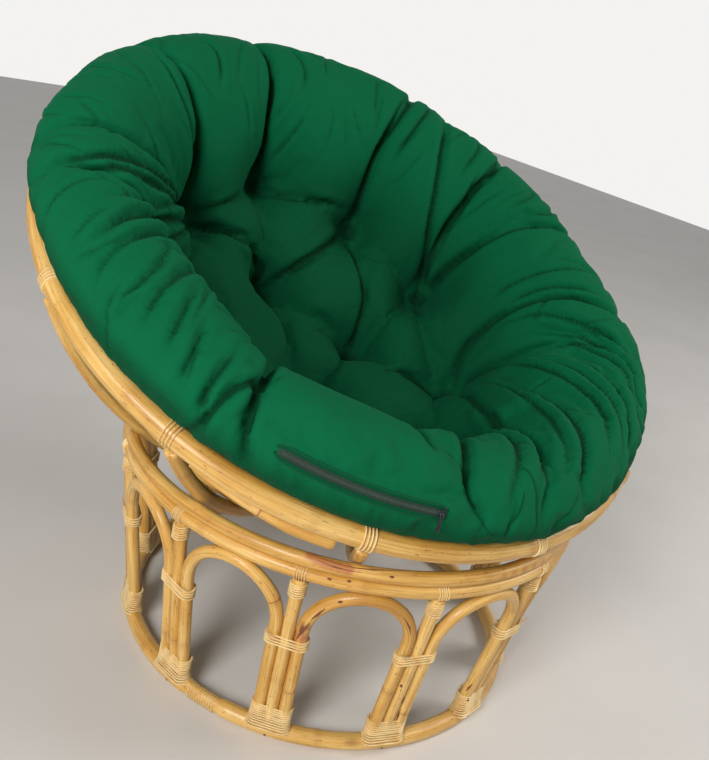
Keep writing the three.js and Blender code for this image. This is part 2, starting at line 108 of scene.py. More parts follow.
# %% [markdown]
# ## Shader maths as expressions
# A Signal wraps one socket of a material. Adding or multiplying signals adds Math nodes, so that a finish
# reads like a formula. A Finish makes every other node from its type, its settings and its values or links.

# %% Signals and finishes


class Signal:
    """One output of a shader node."""

    def __init__(self, finish, socket):
        self.finish, self.socket = finish, socket

    def _maths(self, operation, first, second=0.0):
        return self.finish.node("ShaderNodeMath", {"operation": operation}, {0: first, 1: second})

    def __add__(self, other): return self._maths("ADD", self, other)
    def __radd__(self, other): return self._maths("ADD", other, self)
    def __sub__(self, other): return self._maths("SUBTRACT", self, other)
    def __rsub__(self, other): return self._maths("SUBTRACT", other, self)
    def __mul__(self, other): return self._maths("MULTIPLY", self, other)
    def __abs__(self): return self._maths("ABSOLUTE", self)
    def least(self, other): return self._maths("MINIMUM", self, other)

    def rise(self, low, high):
        """0 below low and 1 above high, smoothly; with low above high it falls instead."""
        return self.finish.node("ShaderNodeMapRange", {"interpolation_type": "SMOOTHSTEP"},
                                {"Value": self, "From Min": low, "From Max": high})


class Finish:
    """A material, and the one method that makes its nodes."""

    def __init__(self, name):
        self.material = bpy.data.materials.new(name)
        self.material.use_nodes = True
        self.nodes = self.material.node_tree.nodes
        self.links = self.material.node_tree.links
        self.nodes.clear()

    def node(self, kind, settings=None, values=None, out=0):
        made = self.nodes.new(kind)
        for key, value in (settings or {}).items():
            setattr(made, key, value)
        for key, value in (values or {}).items():
            socket = made.inputs[key]
            if isinstance(value, Signal):
                self.links.new(value.socket, socket)
            elif hasattr(value, "__len__") and len(value) == 3 and len(socket.default_value) == 4:
                socket.default_value = (*value, 1.0)
            else:
                socket.default_value = value
        return Signal(self, made.outputs[out])

    def attribute(self, name, out="Fac"):
        return self.node("ShaderNodeAttribute", {"attribute_name": name}, out=out)

    def place(self):
        return self.node("ShaderNodeTexCoord", out="Object")

    def stretched(self, vector, scale):
        return self.node("ShaderNodeVectorMath", {"operation": "MULTIPLY"}, {0: vector, 1: scale})

    def noise(self, vector, scale=1.0, detail=3.0, rough=0.5):
        return self.node("ShaderNodeTexNoise", {}, {"Vector": vector, "Scale": scale, "Detail": detail,
                                                    "Roughness": rough})

    def mix(self, share, first, second):
        return self.node("ShaderNodeMix", {"data_type": "RGBA"}, {0: share, 6: first, 7: second}, out=2)

    def surface(self, height=None, **values):
        """The shader, with this height in metres as its bumps, and the material's output."""
        names = {name.replace("_", " ").title().replace("Ior", "IOR"): value for name, value in values.items()}
        if height:
            names["Normal"] = self.node("ShaderNodeBump", {}, {"Height": height, "Distance": 1.0,
                                                               "Strength": 1.0})
        shader = self.node("ShaderNodeBsdfPrincipled", {}, names)
        output = self.nodes.new("ShaderNodeOutputMaterial")
        self.links.new(shader.socket, output.inputs["Surface"])
        return self.material


# %% [markdown]
# ## The rattan's finish
# Rattan is a palm stem: pale straw to honey, with fine fibres along it, a dark scar at each node, soft blotches
# and a thin varnish. The poles carry their own coordinates as attributes, so the fibres follow every bend.

# %% Rattan

rattan_pale, rattan_gold, rattan_ochre = (0.82, 0.555, 0.19), (0.62, 0.325, 0.052), (0.35, 0.14, 0.018)
core_pale, core_gold, core_ochre = (0.86, 0.66, 0.36), (0.74, 0.47, 0.17), (0.55, 0.26, 0.06)
rattan_red = (0.27, 0.06, 0.018)
rattan_blush = (0.42, 0.125, 0.035)
# A dark colour for real stains, and for the painted shadow in the gap of the upper hoop's joint
rattan_stain_and_gap_shadow = (0.055, 0.018, 0.006)


def rattan_finish(name, pale, gold, ochre):
    made = Finish(name)
    grain = made.attribute("grain", "Vector")
    tint, ring, stain, blush = (made.attribute(key) for key in ("tint", "ring", "stain", "blush"))
    fibre = made.noise(made.stretched(grain, (11.0, 620.0, 620.0)), detail=5.0, rough=0.62)
    streak = made.noise(made.stretched(grain, (5.0, 150.0, 150.0)), detail=3.0)
    blotch = made.noise(made.stretched(grain, (7.0, 32.0, 32.0)), detail=4.0, rough=0.6)
    fleck = made.noise(made.stretched(grain, (120.0, 520.0, 520.0)), detail=2.0)
    honey = (blotch * 1.2 + streak * 0.8 + tint - 1.12).rise(0.0, 0.62)
    colour = made.mix(honey, pale, gold)
    deep = (streak + tint * 0.9 - 0.72 + (blotch - 0.5) * 1.2).rise(0.22, 0.82)
    colour = made.mix(deep * 0.75, colour, ochre)
    colour = made.mix(fibre.rise(0.50, 0.66) * 0.60, colour, ochre)
    colour = made.mix(fibre.rise(0.46, 0.25) * 0.30, colour, pale)
    scar = (1.0 - ring.rise(0.0004, 0.0016)) * 0.75
    halo = (1.0 - ring.rise(0.0, 0.012)) * (0.25 + streak * 0.5)
    colour = made.mix(halo * 0.5, colour, ochre)
    colour = made.mix(scar, colour, rattan_red)
    colour = made.mix(fleck.rise(0.655, 0.72) * 0.75, colour, rattan_red)
    blushed = (blush + (streak - 0.5) * 0.9 * blush.rise(0.0, 0.3)).rise(0.2, 0.8)
    colour = made.mix(blushed * 0.8, colour, rattan_blush)
    # Darkened by real stains, and by the painted shadow in the gap of the upper hoop's joint
    darkened = (stain + (streak - 0.5) * 0.8 * stain.rise(0.0, 0.3)).rise(0.15, 0.85)
    colour = made.mix(darkened.least(0.96), colour, made.mix(fibre.rise(0.35, 0.65), rattan_stain_and_gap_shadow, rattan_red))
    height = fibre * 0.00020 + streak * 0.00030 - scar * 0.00035 - fleck.rise(0.66, 0.76) * 0.00025
    rough = 0.34 + fibre * 0.22 + blotch * 0.12 + darkened * 0.2
    return made.surface(height, base_color=colour, roughness=rough, coat_weight=0.30, coat_roughness=0.20)


rattan = rattan_finish("stem_rattan", rattan_pale, rattan_gold, rattan_ochre)
core = rattan_finish("pale_rattan", core_pale, core_gold, core_ochre)
print("materials", rattan.name, core.name)

# %% [markdown]
# ## The cane's finish
# The bindings are strands split from the stem's skin: paler and glossier than the poles, with a fine line
# along each strand and a little brown where the skin was scraped.

# %% Cane

cane_pale, cane_brown = (0.90, 0.72, 0.38), (0.72, 0.47, 0.17)
cane_scraped, cane_edge = (0.38, 0.19, 0.05), (0.30, 0.14, 0.035)


def cane_finish():
    made = Finish("split_cane")
    place = made.place()
    fine = made.noise(place, 900.0, detail=4.0, rough=0.6)
    wide = made.noise(place, 60.0)
    edge = abs(made.attribute("strand") - 0.5) * 2.0
    colour = made.mix((wide * 1.3 - 0.25).rise(0.2, 0.8), cane_pale, cane_brown)
    colour = made.mix(fine.rise(0.5, 0.75) * 0.45, colour, cane_scraped)
    colour = made.mix(edge.rise(0.80, 1.0) * 0.5, colour, cane_edge)
    return made.surface(fine * 0.00012 + wide * 0.0002, base_color=colour, roughness=0.36 + fine * 0.2,
                        coat_weight=0.18, coat_roughness=0.25)


cane = cane_finish()
print("material", cane.name)

# %% [markdown]
# ## The cushion's finish
# The cover is a plain woven cotton twill in deep green. At arm's length the weave shows only as a fine dry
# texture with a soft bright edge where the cloth turns away, so the sheen is a constant on the shader.

# %% Cotton

cotton_green = (0.0010, 0.118, 0.045)
cotton_deep = (0.0008, 0.080, 0.029)
# Painted shade: a darker green for the seat's dish and for the cover below the zip
cotton_painted_shade = (0.0008, 0.052, 0.020)
# Painted shade for the narrow folds and the hollows round the buttons
cotton_crease_shade = (0.0005, 0.028, 0.010)
cotton_worn = (0.003, 0.155, 0.062)
cotton_sheen = (0.10, 0.75, 0.42, 1.0)


def cotton_finish():
    made = Finish("woven_cotton")
    place = made.place()
    cloth = made.attribute("cloth", "Vector")
    warp = made.node("ShaderNodeTexWave", {"wave_type": "BANDS", "bands_direction": "DIAGONAL"},
                     {"Vector": cloth, "Scale": 190.0, "Distortion": 1.5, "Detail": 2.0}, out="Fac")
    weft = made.noise(made.stretched(cloth, (1700.0, 800.0, 800.0)), detail=2.0)
    slub = made.noise(made.stretched(cloth, (90.0, 900.0, 900.0)), detail=2.0)
    faded = made.noise(place, 3.5, detail=2.0)
    apart = made.node("ShaderNodeVectorMath", {"operation": "LENGTH"},
                      {0: made.stretched(cloth, (1.0, 1.0, 0.0))}, out="Value")
    # Painted shade: the seat's dish is darkened, as the shade that the roll casts into it
    colour = made.mix(apart.rise(0.46, 0.30) * 0.85, cotton_green, cotton_painted_shade)
    colour = made.mix(faded.rise(0.30, 0.70) * 0.30, colour, cotton_deep)
    colour = made.mix((weft * 0.6 + slub * 0.4).rise(0.45, 0.65) * 0.30, colour, cotton_worn)
    # Painted shade: from just below the zip down over the foot and the underside the cover is darkened, where
    # it turns down away from the light
    colour = made.mix(apart.rise(0.640, 0.675) * 0.80, colour, cotton_painted_shade)
    # Painted shade: the narrow folds and the hollows round the buttons, from the fold attribute, are darkened
    colour = made.mix(made.attribute("fold").rise(0.14, 0.85) * 0.86, colour, cotton_crease_shade)
    rumple = made.noise(made.stretched(place, (38.0, 38.0, 60.0)), detail=4.0, rough=0.55)
    height = warp * 0.00006 + weft * 0.00008 + slub * 0.00005 + rumple * 0.0011
    return made.surface(height, base_color=colour, roughness=0.80 + weft * 0.12, sheen_weight=0.02,
                        sheen_roughness=0.40, sheen_tint=cotton_sheen, specular_ior_level=0.09)


cotton = cotton_finish()
print("material", cotton.name)

# %% Zip tape, zip metal and nails


def plain_finish(name, colour, other, rough, metallic=0.0):
    made = Finish(name)
    place = made.place()
    fine = made.noise(place, 400.0, detail=4.0, rough=0.6)
    wide = made.noise(place, 400.0 / 12, detail=2.0)
    mottled = made.mix((fine * 0.6 + wide * 0.4).rise(0.35, 0.65), colour, other)
    return made.surface(fine * 0.0001, base_color=mottled, roughness=rough + wide * 0.15, metallic=metallic)


zip_cloth = plain_finish("woven_zip_tape", (0.004, 0.016, 0.010), (0.010, 0.035, 0.020), 0.75)
zip_coil = plain_finish("nylon_coil", (0.020, 0.045, 0.034), (0.035, 0.065, 0.05), 0.45)
thread = plain_finish("sewing_thread", (0.003, 0.10, 0.038), (0.006, 0.16, 0.06), 0.7)
zip_metal = plain_finish("dark_zip_metal", (0.020, 0.024, 0.026), (0.06, 0.065, 0.07), 0.28, 0.9)
nail_metal = plain_finish("nail_metal", (0.10, 0.085, 0.07), (0.25, 0.22, 0.18), 0.35, 0.9)
print("materials", zip_cloth.name, zip_metal.name, nail_metal.name)

# %% [markdown]
# ## Poles
# Every pole is a stem of rattan: round within half a millimetre, a little wavy, with a low swelling at each
# node. A tube is swept along a path in numpy, because the finish needs the length along the stem and the place
# in its section, which the sweep knows. Poles of one kind share the helper and differ by their own seed.

# %% Places, lines and meshes


def spun(radius, height, angle):
    """Points at these radii and heights, turned to these angles round the Z axis."""
    radius, height, angle = np.broadcast_arrays(radius, height, angle)
    return np.stack([radius * np.cos(angle), radius * np.sin(angle), height], axis=-1)


def circle(radius, height, start=0.0, count=480):
    return spun(radius, height, start + np.arange(count) * 2 * pi / count)


def bell(distance, reach, power=2):
    """1 at no distance, and next to nothing beyond twice the reach."""
    return np.exp(-(distance / reach) ** power)


def unit(vectors):
    return vectors / np.linalg.norm(vectors, axis=-1, keepdims=True)


def distances(points):
    """How far along a line each of its points lies."""
    return np.r_[0, np.cumsum(np.linalg.norm(np.diff(points, axis=0), axis=1))]


def respaced(points, step, closed=False):
    """Evenly spaced points along a path, the distance of each along it, and the whole length."""
    points = np.vstack([points, points[:1]]) if closed else np.asarray(points, float)
    along = distances(points)
    count = max(int(along[-1] / step), 6)
    at = np.linspace(0, along[-1], count + (not closed), endpoint=not closed)
    return np.stack([np.interp(at, along, values) for values in points.T], axis=1), at, along[-1]


def carried_frames(points, closed, first):
    """Tangents, and two sides carried along the path without twist; a closed path's twist is shared out."""
    if closed:
        tangents = unit(np.roll(points, -1, axis=0) - np.roll(points, 1, axis=0))
    else:
        tangents = unit(np.gradient(points, axis=0))
    sides = np.empty_like(points)
    side = np.asarray(first, float)
    for i, tangent in enumerate(tangents):
        side = unit(side - tangent * (side @ tangent))
        sides[i] = side
    if closed:
        last = unit(side - tangents[0] * (side @ tangents[0]))
        gap = np.arctan2(np.cross(last, sides[0]) @ tangents[0], last @ sides[0])
        angle = gap * np.arange(len(points)) / len(points)
        sides = sides * np.cos(angle)[:, None] + np.cross(tangents, sides) * np.sin(angle)[:, None]
    return tangents, sides, np.cross(tangents, sides)


def grid_faces(rows, around, closed=False, inward=False):
    """Four-sided faces between rings of points; the last ring joins the first where the rows are closed."""
    i, j = np.arange(rows if closed else rows - 1)[:, None] * around, np.arange(around)[None]
    beside, ahead = (j + 1) % around, (i + around) % (rows * around)
    corners = [i + j, i + beside, ahead + beside, ahead + j]
    if inward:
        corners = [i + j, ahead + j, ahead + beside, i + beside]
    return np.stack(corners, axis=2).reshape(-1, 4).tolist()


def store(mesh, key, values):
    """A number or a vector kept on each point of a mesh."""
    vector = values.ndim == 2
    layer = mesh.attributes.new(key, "FLOAT_VECTOR" if vector else "FLOAT", "POINT")
    layer.data.foreach_set("vector" if vector else "value", values.astype(np.float32).ravel())


def mesh_object(name, verts, faces, material, attributes=None, smooth=True):
    mesh = bpy.data.meshes.new(name)
    mesh.from_pydata(np.asarray(verts).tolist(), [], faces)
    for key, values in (attributes or {}).items():
        store(mesh, key, values)
    mesh.materials.append(material)
    mesh.polygons.foreach_set("use_smooth", [smooth] * len(mesh.polygons))
    mesh.update()
    return placed(name, mesh)


# %% A swept stem
sway_size, rise_size, girth_size, oval_size = 0.16, 0.13, 0.09, 0.20
uneven_share, oval_share = 0.012, 0.014
swelling, swelling_reach = 0.4 * MM, 5 * MM
dome_width_share, dome_edge_share, dome_tip_share = 0.86, 0.05, 0.06


def slow_noise(rng, at, size, total, closed):
    """A smooth random line of about unit height, which meets itself on a closed path."""
    count = max(int(total / size), 3)
    knots = rng.normal(0, 0.6, count + 1)
    if closed:
        knots[-1] = knots[0]
    share = at / total * count
    low = np.minimum(share.astype(int), count - 1)
    blend = share - low
    blend = blend * blend * (3 - 2 * blend)
    return knots[low] * (1 - blend) + knots[low + 1] * blend


def node_places(rng, total, gap):
    places = [rng.uniform(0.02, gap)]
    while places[-1] < total:
        places.append(places[-1] + gap * rng.uniform(0.75, 1.3))
    return np.array(places[:-1] or [total * 0.5])


def domed(verts, grain, ring, base, sides, out):
    """A pole with one end closed by a low dome, which has no node on it, and the dome's faces."""
    edge, skin, start = verts[base:base + sides], grain[base:base + sides], len(verts)
    middle = edge.mean(axis=0)
    lip = middle + (edge - middle) * dome_width_share + out * dome_edge_share
    verts = np.vstack([verts, lip, [middle + out * dome_tip_share]])
    grain = np.vstack([grain, skin, [skin.mean(axis=0)]])
    ring = np.r_[ring, np.full(sides + 1, 1.0)]
    faces = []
    for k, n in zip(range(sides), [*range(1, sides), 0]):
        faces += [[base + k, base + n, start + n, start + k], [start + k, start + n, start + sides]]
    return verts, grain, ring, faces


def stem(name, path, pole, closed=False, first=(0, 0, 1), sides=16, step=0.006, seed=0, tint=0.5,
         waviness=0.0006, node_gap=0.24, girth=None, stains=(), blushes=(), floor=None, material=None):
    """A rattan pole along a path, its width scaled by girth(share). Stains and painted gap shadows are (point,
    reach, strength).
    """
    rng = np.random.default_rng(seed)
    points, at, total = respaced(path, step, closed)
    tangents, side, up = carried_frames(points, closed, first)

    def noise(size):
        return slow_noise(rng, at, size, total, closed)

    points = points + side * (noise(sway_size) * waviness)[:, None]
    points = points + up * (noise(rise_size) * waviness)[:, None]
    apart = np.abs(at[:, None] - node_places(rng, total, node_gap)[None])
    ring = (np.minimum(apart, total - apart) if closed else apart).min(axis=1)
    radius = pole / 2 * (1 + uneven_share * noise(girth_size)) + swelling * bell(ring, swelling_reach)
    if girth:
        radius = radius * girth(at / total)
    turn = np.arange(sides) * 2 * pi / sides
    reach = radius[:, None] * (1 + oval_share * np.sin(2 * turn[None] + 3 * noise(oval_size)[:, None]))
    across, over = np.cos(turn)[None] * reach, np.sin(turn)[None] * reach
    verts = points[:, None] + (side[:, None] * across[..., None] + up[:, None] * over[..., None])
    grain = np.stack([np.broadcast_to(at[:, None], reach.shape), across, over], axis=2) + rng.uniform(0, 40, 3)
    verts, grain, ring = verts.reshape(-1, 3), grain.reshape(-1, 3), np.repeat(ring, sides)
    faces = grid_faces(len(points), sides, closed)
    for row, way in [] if closed else [(0, -1), (len(points) - 1, 1)]:
        verts, grain, ring, dome = domed(verts, grain, ring, row * sides, sides, way * tangents[row] * pole)
        faces += [face[::way] for face in dome]
    if floor is not None:
        verts[:, 2] = np.maximum(verts[:, 2], floor)
    values = {"grain": grain, "ring": ring, "tint": np.full(len(verts), tint)}
    for key, spots in (("stain", stains), ("blush", blushes)):
        values[key] = np.zeros(len(verts))
        for point, far, strength in spots:
            near = strength * bell(np.linalg.norm(verts - point, axis=1), far)
            values[key] = np.maximum(values[key], near)
    return mesh_object(name, verts, faces, material or rattan, values)


def finished(piece, body, slot, *nodes):
    """A piece rides on its body and stands for its CAD nodes. The slot is not used."""
    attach(piece, body)
    if nodes:
        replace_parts(piece, *nodes)
    return piece


def base_pole(name, path, pole, *nodes, **looks):
    return finished(stem(name, path, pole, **looks), "base", "rattan", *nodes)


# %% [markdown]
# ## The base's hoops
# Three poles are bent into hoops. The foot hoop's lapped ends are pared thin where cane binds them. Of the two
# hoops on top, the upper one shows its long slanted joint at the front, with reddish wood on the cut.

# %% Foot hoop and top hoops
splice_angle = radians(-153.75)
splice_waist = 20.4 * MM
splice_reach, splice_ramp = 24 * MM, 12 * MM
joint_marks = [(972, 11), (981, 32), (990, 40), (1000, 43), (1010, 47), (1020, 50)]
joint_end_marks = [(1236, 80), (1256, 80), (1276, 82), (1296, 86), (1318, 92)]
foot_stain = (np.array([-0.13, -0.37, 0.02]), 0.016, 0.5)


def base_ring(radius, height, start):
    return circle(radius, height, start, 360) + base_shift


def pared(share):
    """The foot hoop's girth, where share 0 is the middle of its joint."""
    away = np.minimum(share, 1 - share) * 2 * pi * foot_radius
    waist = splice_waist / foot_pole
    return waist + (1 - waist) * np.clip((away - splice_reach) / splice_ramp, 0, 1)


def on_pole(path, pole, marks, closed=False, first=(0, 0, 1)):
    """Places on a pole's skin, from marks of (mm along it, degrees round it)."""
    points, at, _ = respaced(path, 0.003, closed)
    _, side, up = carried_frames(points, closed, first)
    chosen = [(int(np.abs(at - along * MM).argmin()), radians(turn)) for along, turn in marks]
    return np.array([points[i] + pole / 2 * (cos(turn) * side[i] + sin(turn) * up[i]) for i, turn in chosen])


upper_path = base_ring(top_radius, upper_top_height, 1.2)
lower_path = base_ring(top_radius, lower_top_height, 1.9)
joint_blushes = [(spot, 0.009, 1.0) for spot in on_pole(upper_path, top_pole, joint_marks, closed=True)]
joint_blushes += [(spot, 0.010, 0.6) for spot in on_pole(upper_path, top_pole, joint_end_marks, closed=True)]
base_pole("pole_foot_hoop", base_ring(foot_radius, foot_height, splice_angle), foot_pole, "foot_hoop",
          closed=True, sides=20, seed=3, tint=0.46, girth=pared, floor=0.0, stains=[foot_stain])
base_pole("pole_lower_top_hoop", lower_path, top_pole, "lower_top_hoop", closed=True, sides=18, seed=5,
          tint=0.52)
base_pole("pole_upper_top_hoop", upper_path, top_pole, "upper_top_hoop", closed=True, sides=24, step=0.004,
          seed=8, waviness=0.0003, tint=0.56, blushes=joint_blushes)
print("hoops:", foot_pole, top_pole)

# %% [markdown]
# ## Arches and posts
# Twelve straight posts stand on the foot hoop and lean out to the top hoops. Between each pair a pole is bent
# into an arch, whose legs stand right beside the posts. The same few measures give both paths.

# %% Arches and posts
station_count = 12
station_angle = 2 * pi / station_count
post_pole = 18.6 * MM
arch_pole = 18.0 * MM
clearance = 0.3 * MM
arch_spring = 208 * MM
lean = atan((top_radius - foot_radius) / (lower_top_height - foot_pole))
pole_foot = foot_pole + clearance + post_pole / 2 * sin(lean)
pole_top = lower_top_height - top_pole / 2 - clearance - post_pole / 2 * sin(lean)
pole_spacing = post_pole / 2 + arch_pole / 2 + clearance
arch_crown = lower_top_height - top_pole / 2 - clearance - arch_pole / 2
arch_tints = [0.50, 0.62, 0.42, 0.55, 0.48, 0.60, 0.45, 0.52, 0.58, 0.44, 0.54, 0.47]
post_tints = [0.38, 0.50, 0.42, 0.54, 0.38, 0.34, 0.58, 0.40, 0.36, 0.40, 0.36, 0.42]
worn_arch = 8
shoulder_stains = [(np.array([-0.233, -0.330, 0.222]), 0.010, 0.7)]
shoulder_blushes = [(np.array([-0.230, -0.327, 0.203]), 0.015, 0.8),
                    (np.array([-0.235, -0.317, 0.182]), 0.014, 0.5)]


def wall_radius(height):
    return foot_radius + tan(lean) * (height - foot_pole)


def on_base(angle, radius, height):
    return spun(radius, height, angle) + base_shift


def facing(steps):
    """Outward at this many stations round the base."""
    return spun(1.0, 0.0, station_angle * steps)


def post_path(steps):
    heights = np.linspace(pole_foot, pole_top, 12)
    return np.array([on_base(station_angle * steps, wall_radius(h), h) for h in heights])


def arch_path(steps):
    """Up one leg, round the crown and down the other leg."""
    middle = station_angle * steps

    def place(height, way, level=None):
        turn = station_angle / 2 - atan(pole_spacing / wall_radius(level or height))
        return on_base(middle + way * turn, hypot(wall_radius(height), pole_spacing), height)

    heights = np.linspace(pole_foot, arch_spring, 14)
    points = [place(height, -1) for height in heights[:-1]]
    for turn in np.linspace(pi, 0, 33):
        points.append(place(arch_spring + (arch_crown - arch_spring) * sin(turn), cos(turn), arch_spring))
    return np.array(points + [place(height, 1) for height in heights[-2::-1]])


for index in range(station_count):
    number = f"{index + 1:02d}"
    darkened = index == worn_arch
    base_pole(f"pole_arch_{number}", arch_path(index), arch_pole, f"arch_{number}", first=facing(index),
              seed=40 + index, tint=arch_tints[index], node_gap=0.27, stains=shoulder_stains if darkened else (),
              blushes=shoulder_blushes if darkened else ())
    base_pole(f"pole_post_{number}", post_path(index + 0.5), post_pole, f"post_{number}",
              first=facing(index + 0.5), seed=70 + index, tint=post_tints[index], node_gap=0.20)
print("arches and posts:", station_count, "each")

# %% [markdown]
# ## Splits, knots and the joint's painted shadow
# Bending opens the skin in places: short dark splits at a shoulder, and knots. Two thin dark lines along the
# edge of the upper hoop's slanted joint are a painted shadow of its gap. Each is a thin dark sliver laid in the
# skin along marks read from the photograph.

# %% Splits and knots
slim = {"waviness": 0.0, "node_gap": 0.5}
arch_09, arch_10, post_09 = arch_path(8), arch_path(9), post_path(8.5)
splits = [
    (arch_09, arch_pole, 8, 3.4, [(244, -18), (236, -10), (229, -5), (221, -8), (213, -6)]),
    (arch_09, arch_pole, 8, 4.2, [(210, 2), (203, -3), (194, -12), (184, -30), (172, -52)]),
    (arch_09, arch_pole, 8, 2.6, [(205, -20), (196, -30), (186, -48)]),
    (arch_09, arch_pole, 8, 3.2, [(263, -34), (265, -34), (267, -34)]),
    (arch_09, arch_pole, 8, 1.8, [(352, -16), (362, -10), (376, -8), (392, -6)]),
    (post_09, post_pole, 8.5, 3.6, [(112, -42), (108, -42), (104, -40)]),
    (post_09, post_pole, 8.5, 2.0, [(88, 30), (80, 34), (70, 32)]),
    (arch_10, arch_pole, 9, 2.2, [(58, -72), (48, -69), (36, -66), (27, -65)]),
    (arch_10, arch_pole, 9, 3.4, [(577, 9), (574, 9), (571, 10)]),
    (arch_10, arch_pole, 9, 2.4, [(560, 70), (552, 66), (541, 54)]),
    (lower_path, top_pole, None, 2.6, [(751, 53), (753, 53), (756, 53)]),
    (lower_path, top_pole, None, 2.4, [(775, 38), (777, 38), (779, 38)]),
    (upper_path, top_pole, None, 2.8, [(1071, 58), (1075, 58), (1079, 57)]),
    # The next two lines run along the edge of the upper hoop's slanted joint: dark slivers as a painted shadow
    # of its gap
    (upper_path, top_pole, None, 1.5, [(972, 8), (986, 22), (1006, 30), (1030, 32), (1054, 22), (1090, -3),
                                       (1129, -30)]),
    (upper_path, top_pole, None, 1.4, [(974, 20), (984, 46), (1000, 58), (1020, 62), (1040, 60)]),
]
for number, (path, pole, steps, width, marks) in enumerate(splits, 1):
    hoop = steps is None
    first = (0, 0, 1) if hoop else facing(steps)
    line = on_pole(path, pole - 0.5 * MM, marks, hoop, first)
    base_pole(f"pole_split_{number:02d}", line, width * MM, first=first, sides=8, step=0.0012,
              seed=200 + number, waviness=0.0003, node_gap=0.5, stains=[(line.mean(axis=0), 1.0, 1.0)],
              girth=lambda share: 0.25 + 0.75 * np.sin(pi * np.clip(share, 0, 1)) ** 0.8)
print("splits and knots:", len(splits))

# %% [markdown]
# ## Cane bindings by Geometry Nodes
# A binding is one strand of split cane wound round a pole, or round three side by side. Its path follows a
# rule, so one node tree makes it: a line of points is turned into a helix with straight stretches, swept with a
# flat section, and put on every place that is tied. Three windings with their own wobble are picked by turns.

# %% Node trees and what they make


class Tree:
    """A node tree with named inputs, and the one method that makes its nodes."""

    def __init__(self, name, sizes):
        self.tree = bpy.data.node_groups.new(name, "GeometryNodeTree")
        face = self.tree.interface
        face.new_socket("Geometry", in_out="INPUT", socket_type="NodeSocketGeometry")
        self.names = {}
        for key, value in sizes.items():
            kind = {int: "NodeSocketInt", float: "NodeSocketFloat"}.get(type(value), "NodeSocketMaterial")
            socket = face.new_socket(key, in_out="INPUT", socket_type=kind)
            if kind != "NodeSocketMaterial":
                socket.default_value = value
            self.names[key] = socket.identifier
        face.new_socket("Geometry", in_out="OUTPUT", socket_type="NodeSocketGeometry")
        self.entry = self.tree.nodes.new("NodeGroupInput")

    def given(self, key):
        return self.entry.outputs[key]

    def node(self, kind, settings=None, values=None):
        made = self.tree.nodes.new(kind)
        for key, value in (settings or {}).items():
            setattr(made, key, value)
        for key, value in (values or {}).items():
            for source in value if isinstance(value, list) else [value]:
                if isinstance(source, bpy.types.NodeSocket):
                    self.tree.links.new(source, made.inputs[key])
                else:
                    made.inputs[key].default_value = source
        return made.outputs[0]

    def maths(self, operation, first, second=0.0):
        return self.node("ShaderNodeMath", {"operation": operation}, {0: first, 1: second})

    def times(self, first, second): return self.maths("MULTIPLY", first, second)
    def plus(self, first, second): return self.maths("ADD", first, second)
    def vector(self, x=0.0, y=0.0, z=0.0): return self.node("ShaderNodeCombineXYZ", {}, {0: x, 1: y, 2: z})

    def put(self, pieces, points, turns, **more):
        """The tree's end: pieces on points with these turns, made real, smooth and of the given material."""
        turns = self.node("FunctionNodeEulerToRotation", {}, {0: turns})
        made = self.node("GeometryNodeInstanceOnPoints", {},
                         {"Points": points, "Instance": pieces, "Rotation": turns, **more})
        made = self.node("GeometryNodeRealizeInstances", {}, {"Geometry": made})
        made = self.node("GeometryNodeSetShadeSmooth", {}, {"Geometry": made, "Shade Smooth": True})
        made = self.node("GeometryNodeSetMaterial", {}, {"Geometry": made, "Material": self.given("Material")})
        self.tree.links.new(made, self.tree.nodes.new("NodeGroupOutput").inputs[0])


def bake_modifiers(piece):
    """The piece with its modifiers applied and gone."""
    seen = piece.evaluated_get(bpy.context.evaluated_depsgraph_get())
    mesh = bpy.data.meshes.new_from_object(seen)
    piece.modifiers.clear()
    old, piece.data = piece.data, mesh
    bpy.data.meshes.remove(old)
    mesh.name = piece.name


def node_made(holder, tree, sizes):
    """The plain mesh that a node tree makes on a holder, whose modifier is then gone."""
    modifier = holder.modifiers.new(tree.tree.name, "NODES")
    modifier.node_group = tree.tree
    for key, value in sizes.items():
        modifier[tree.names[key]] = value
    bake_modifiers(holder)
    print(holder.name, len(holder.data.polygons), "faces")
    return holder


# %% The winding's node tree
turn_steps = 20
copy_count = 3
copy_seed = 11.3


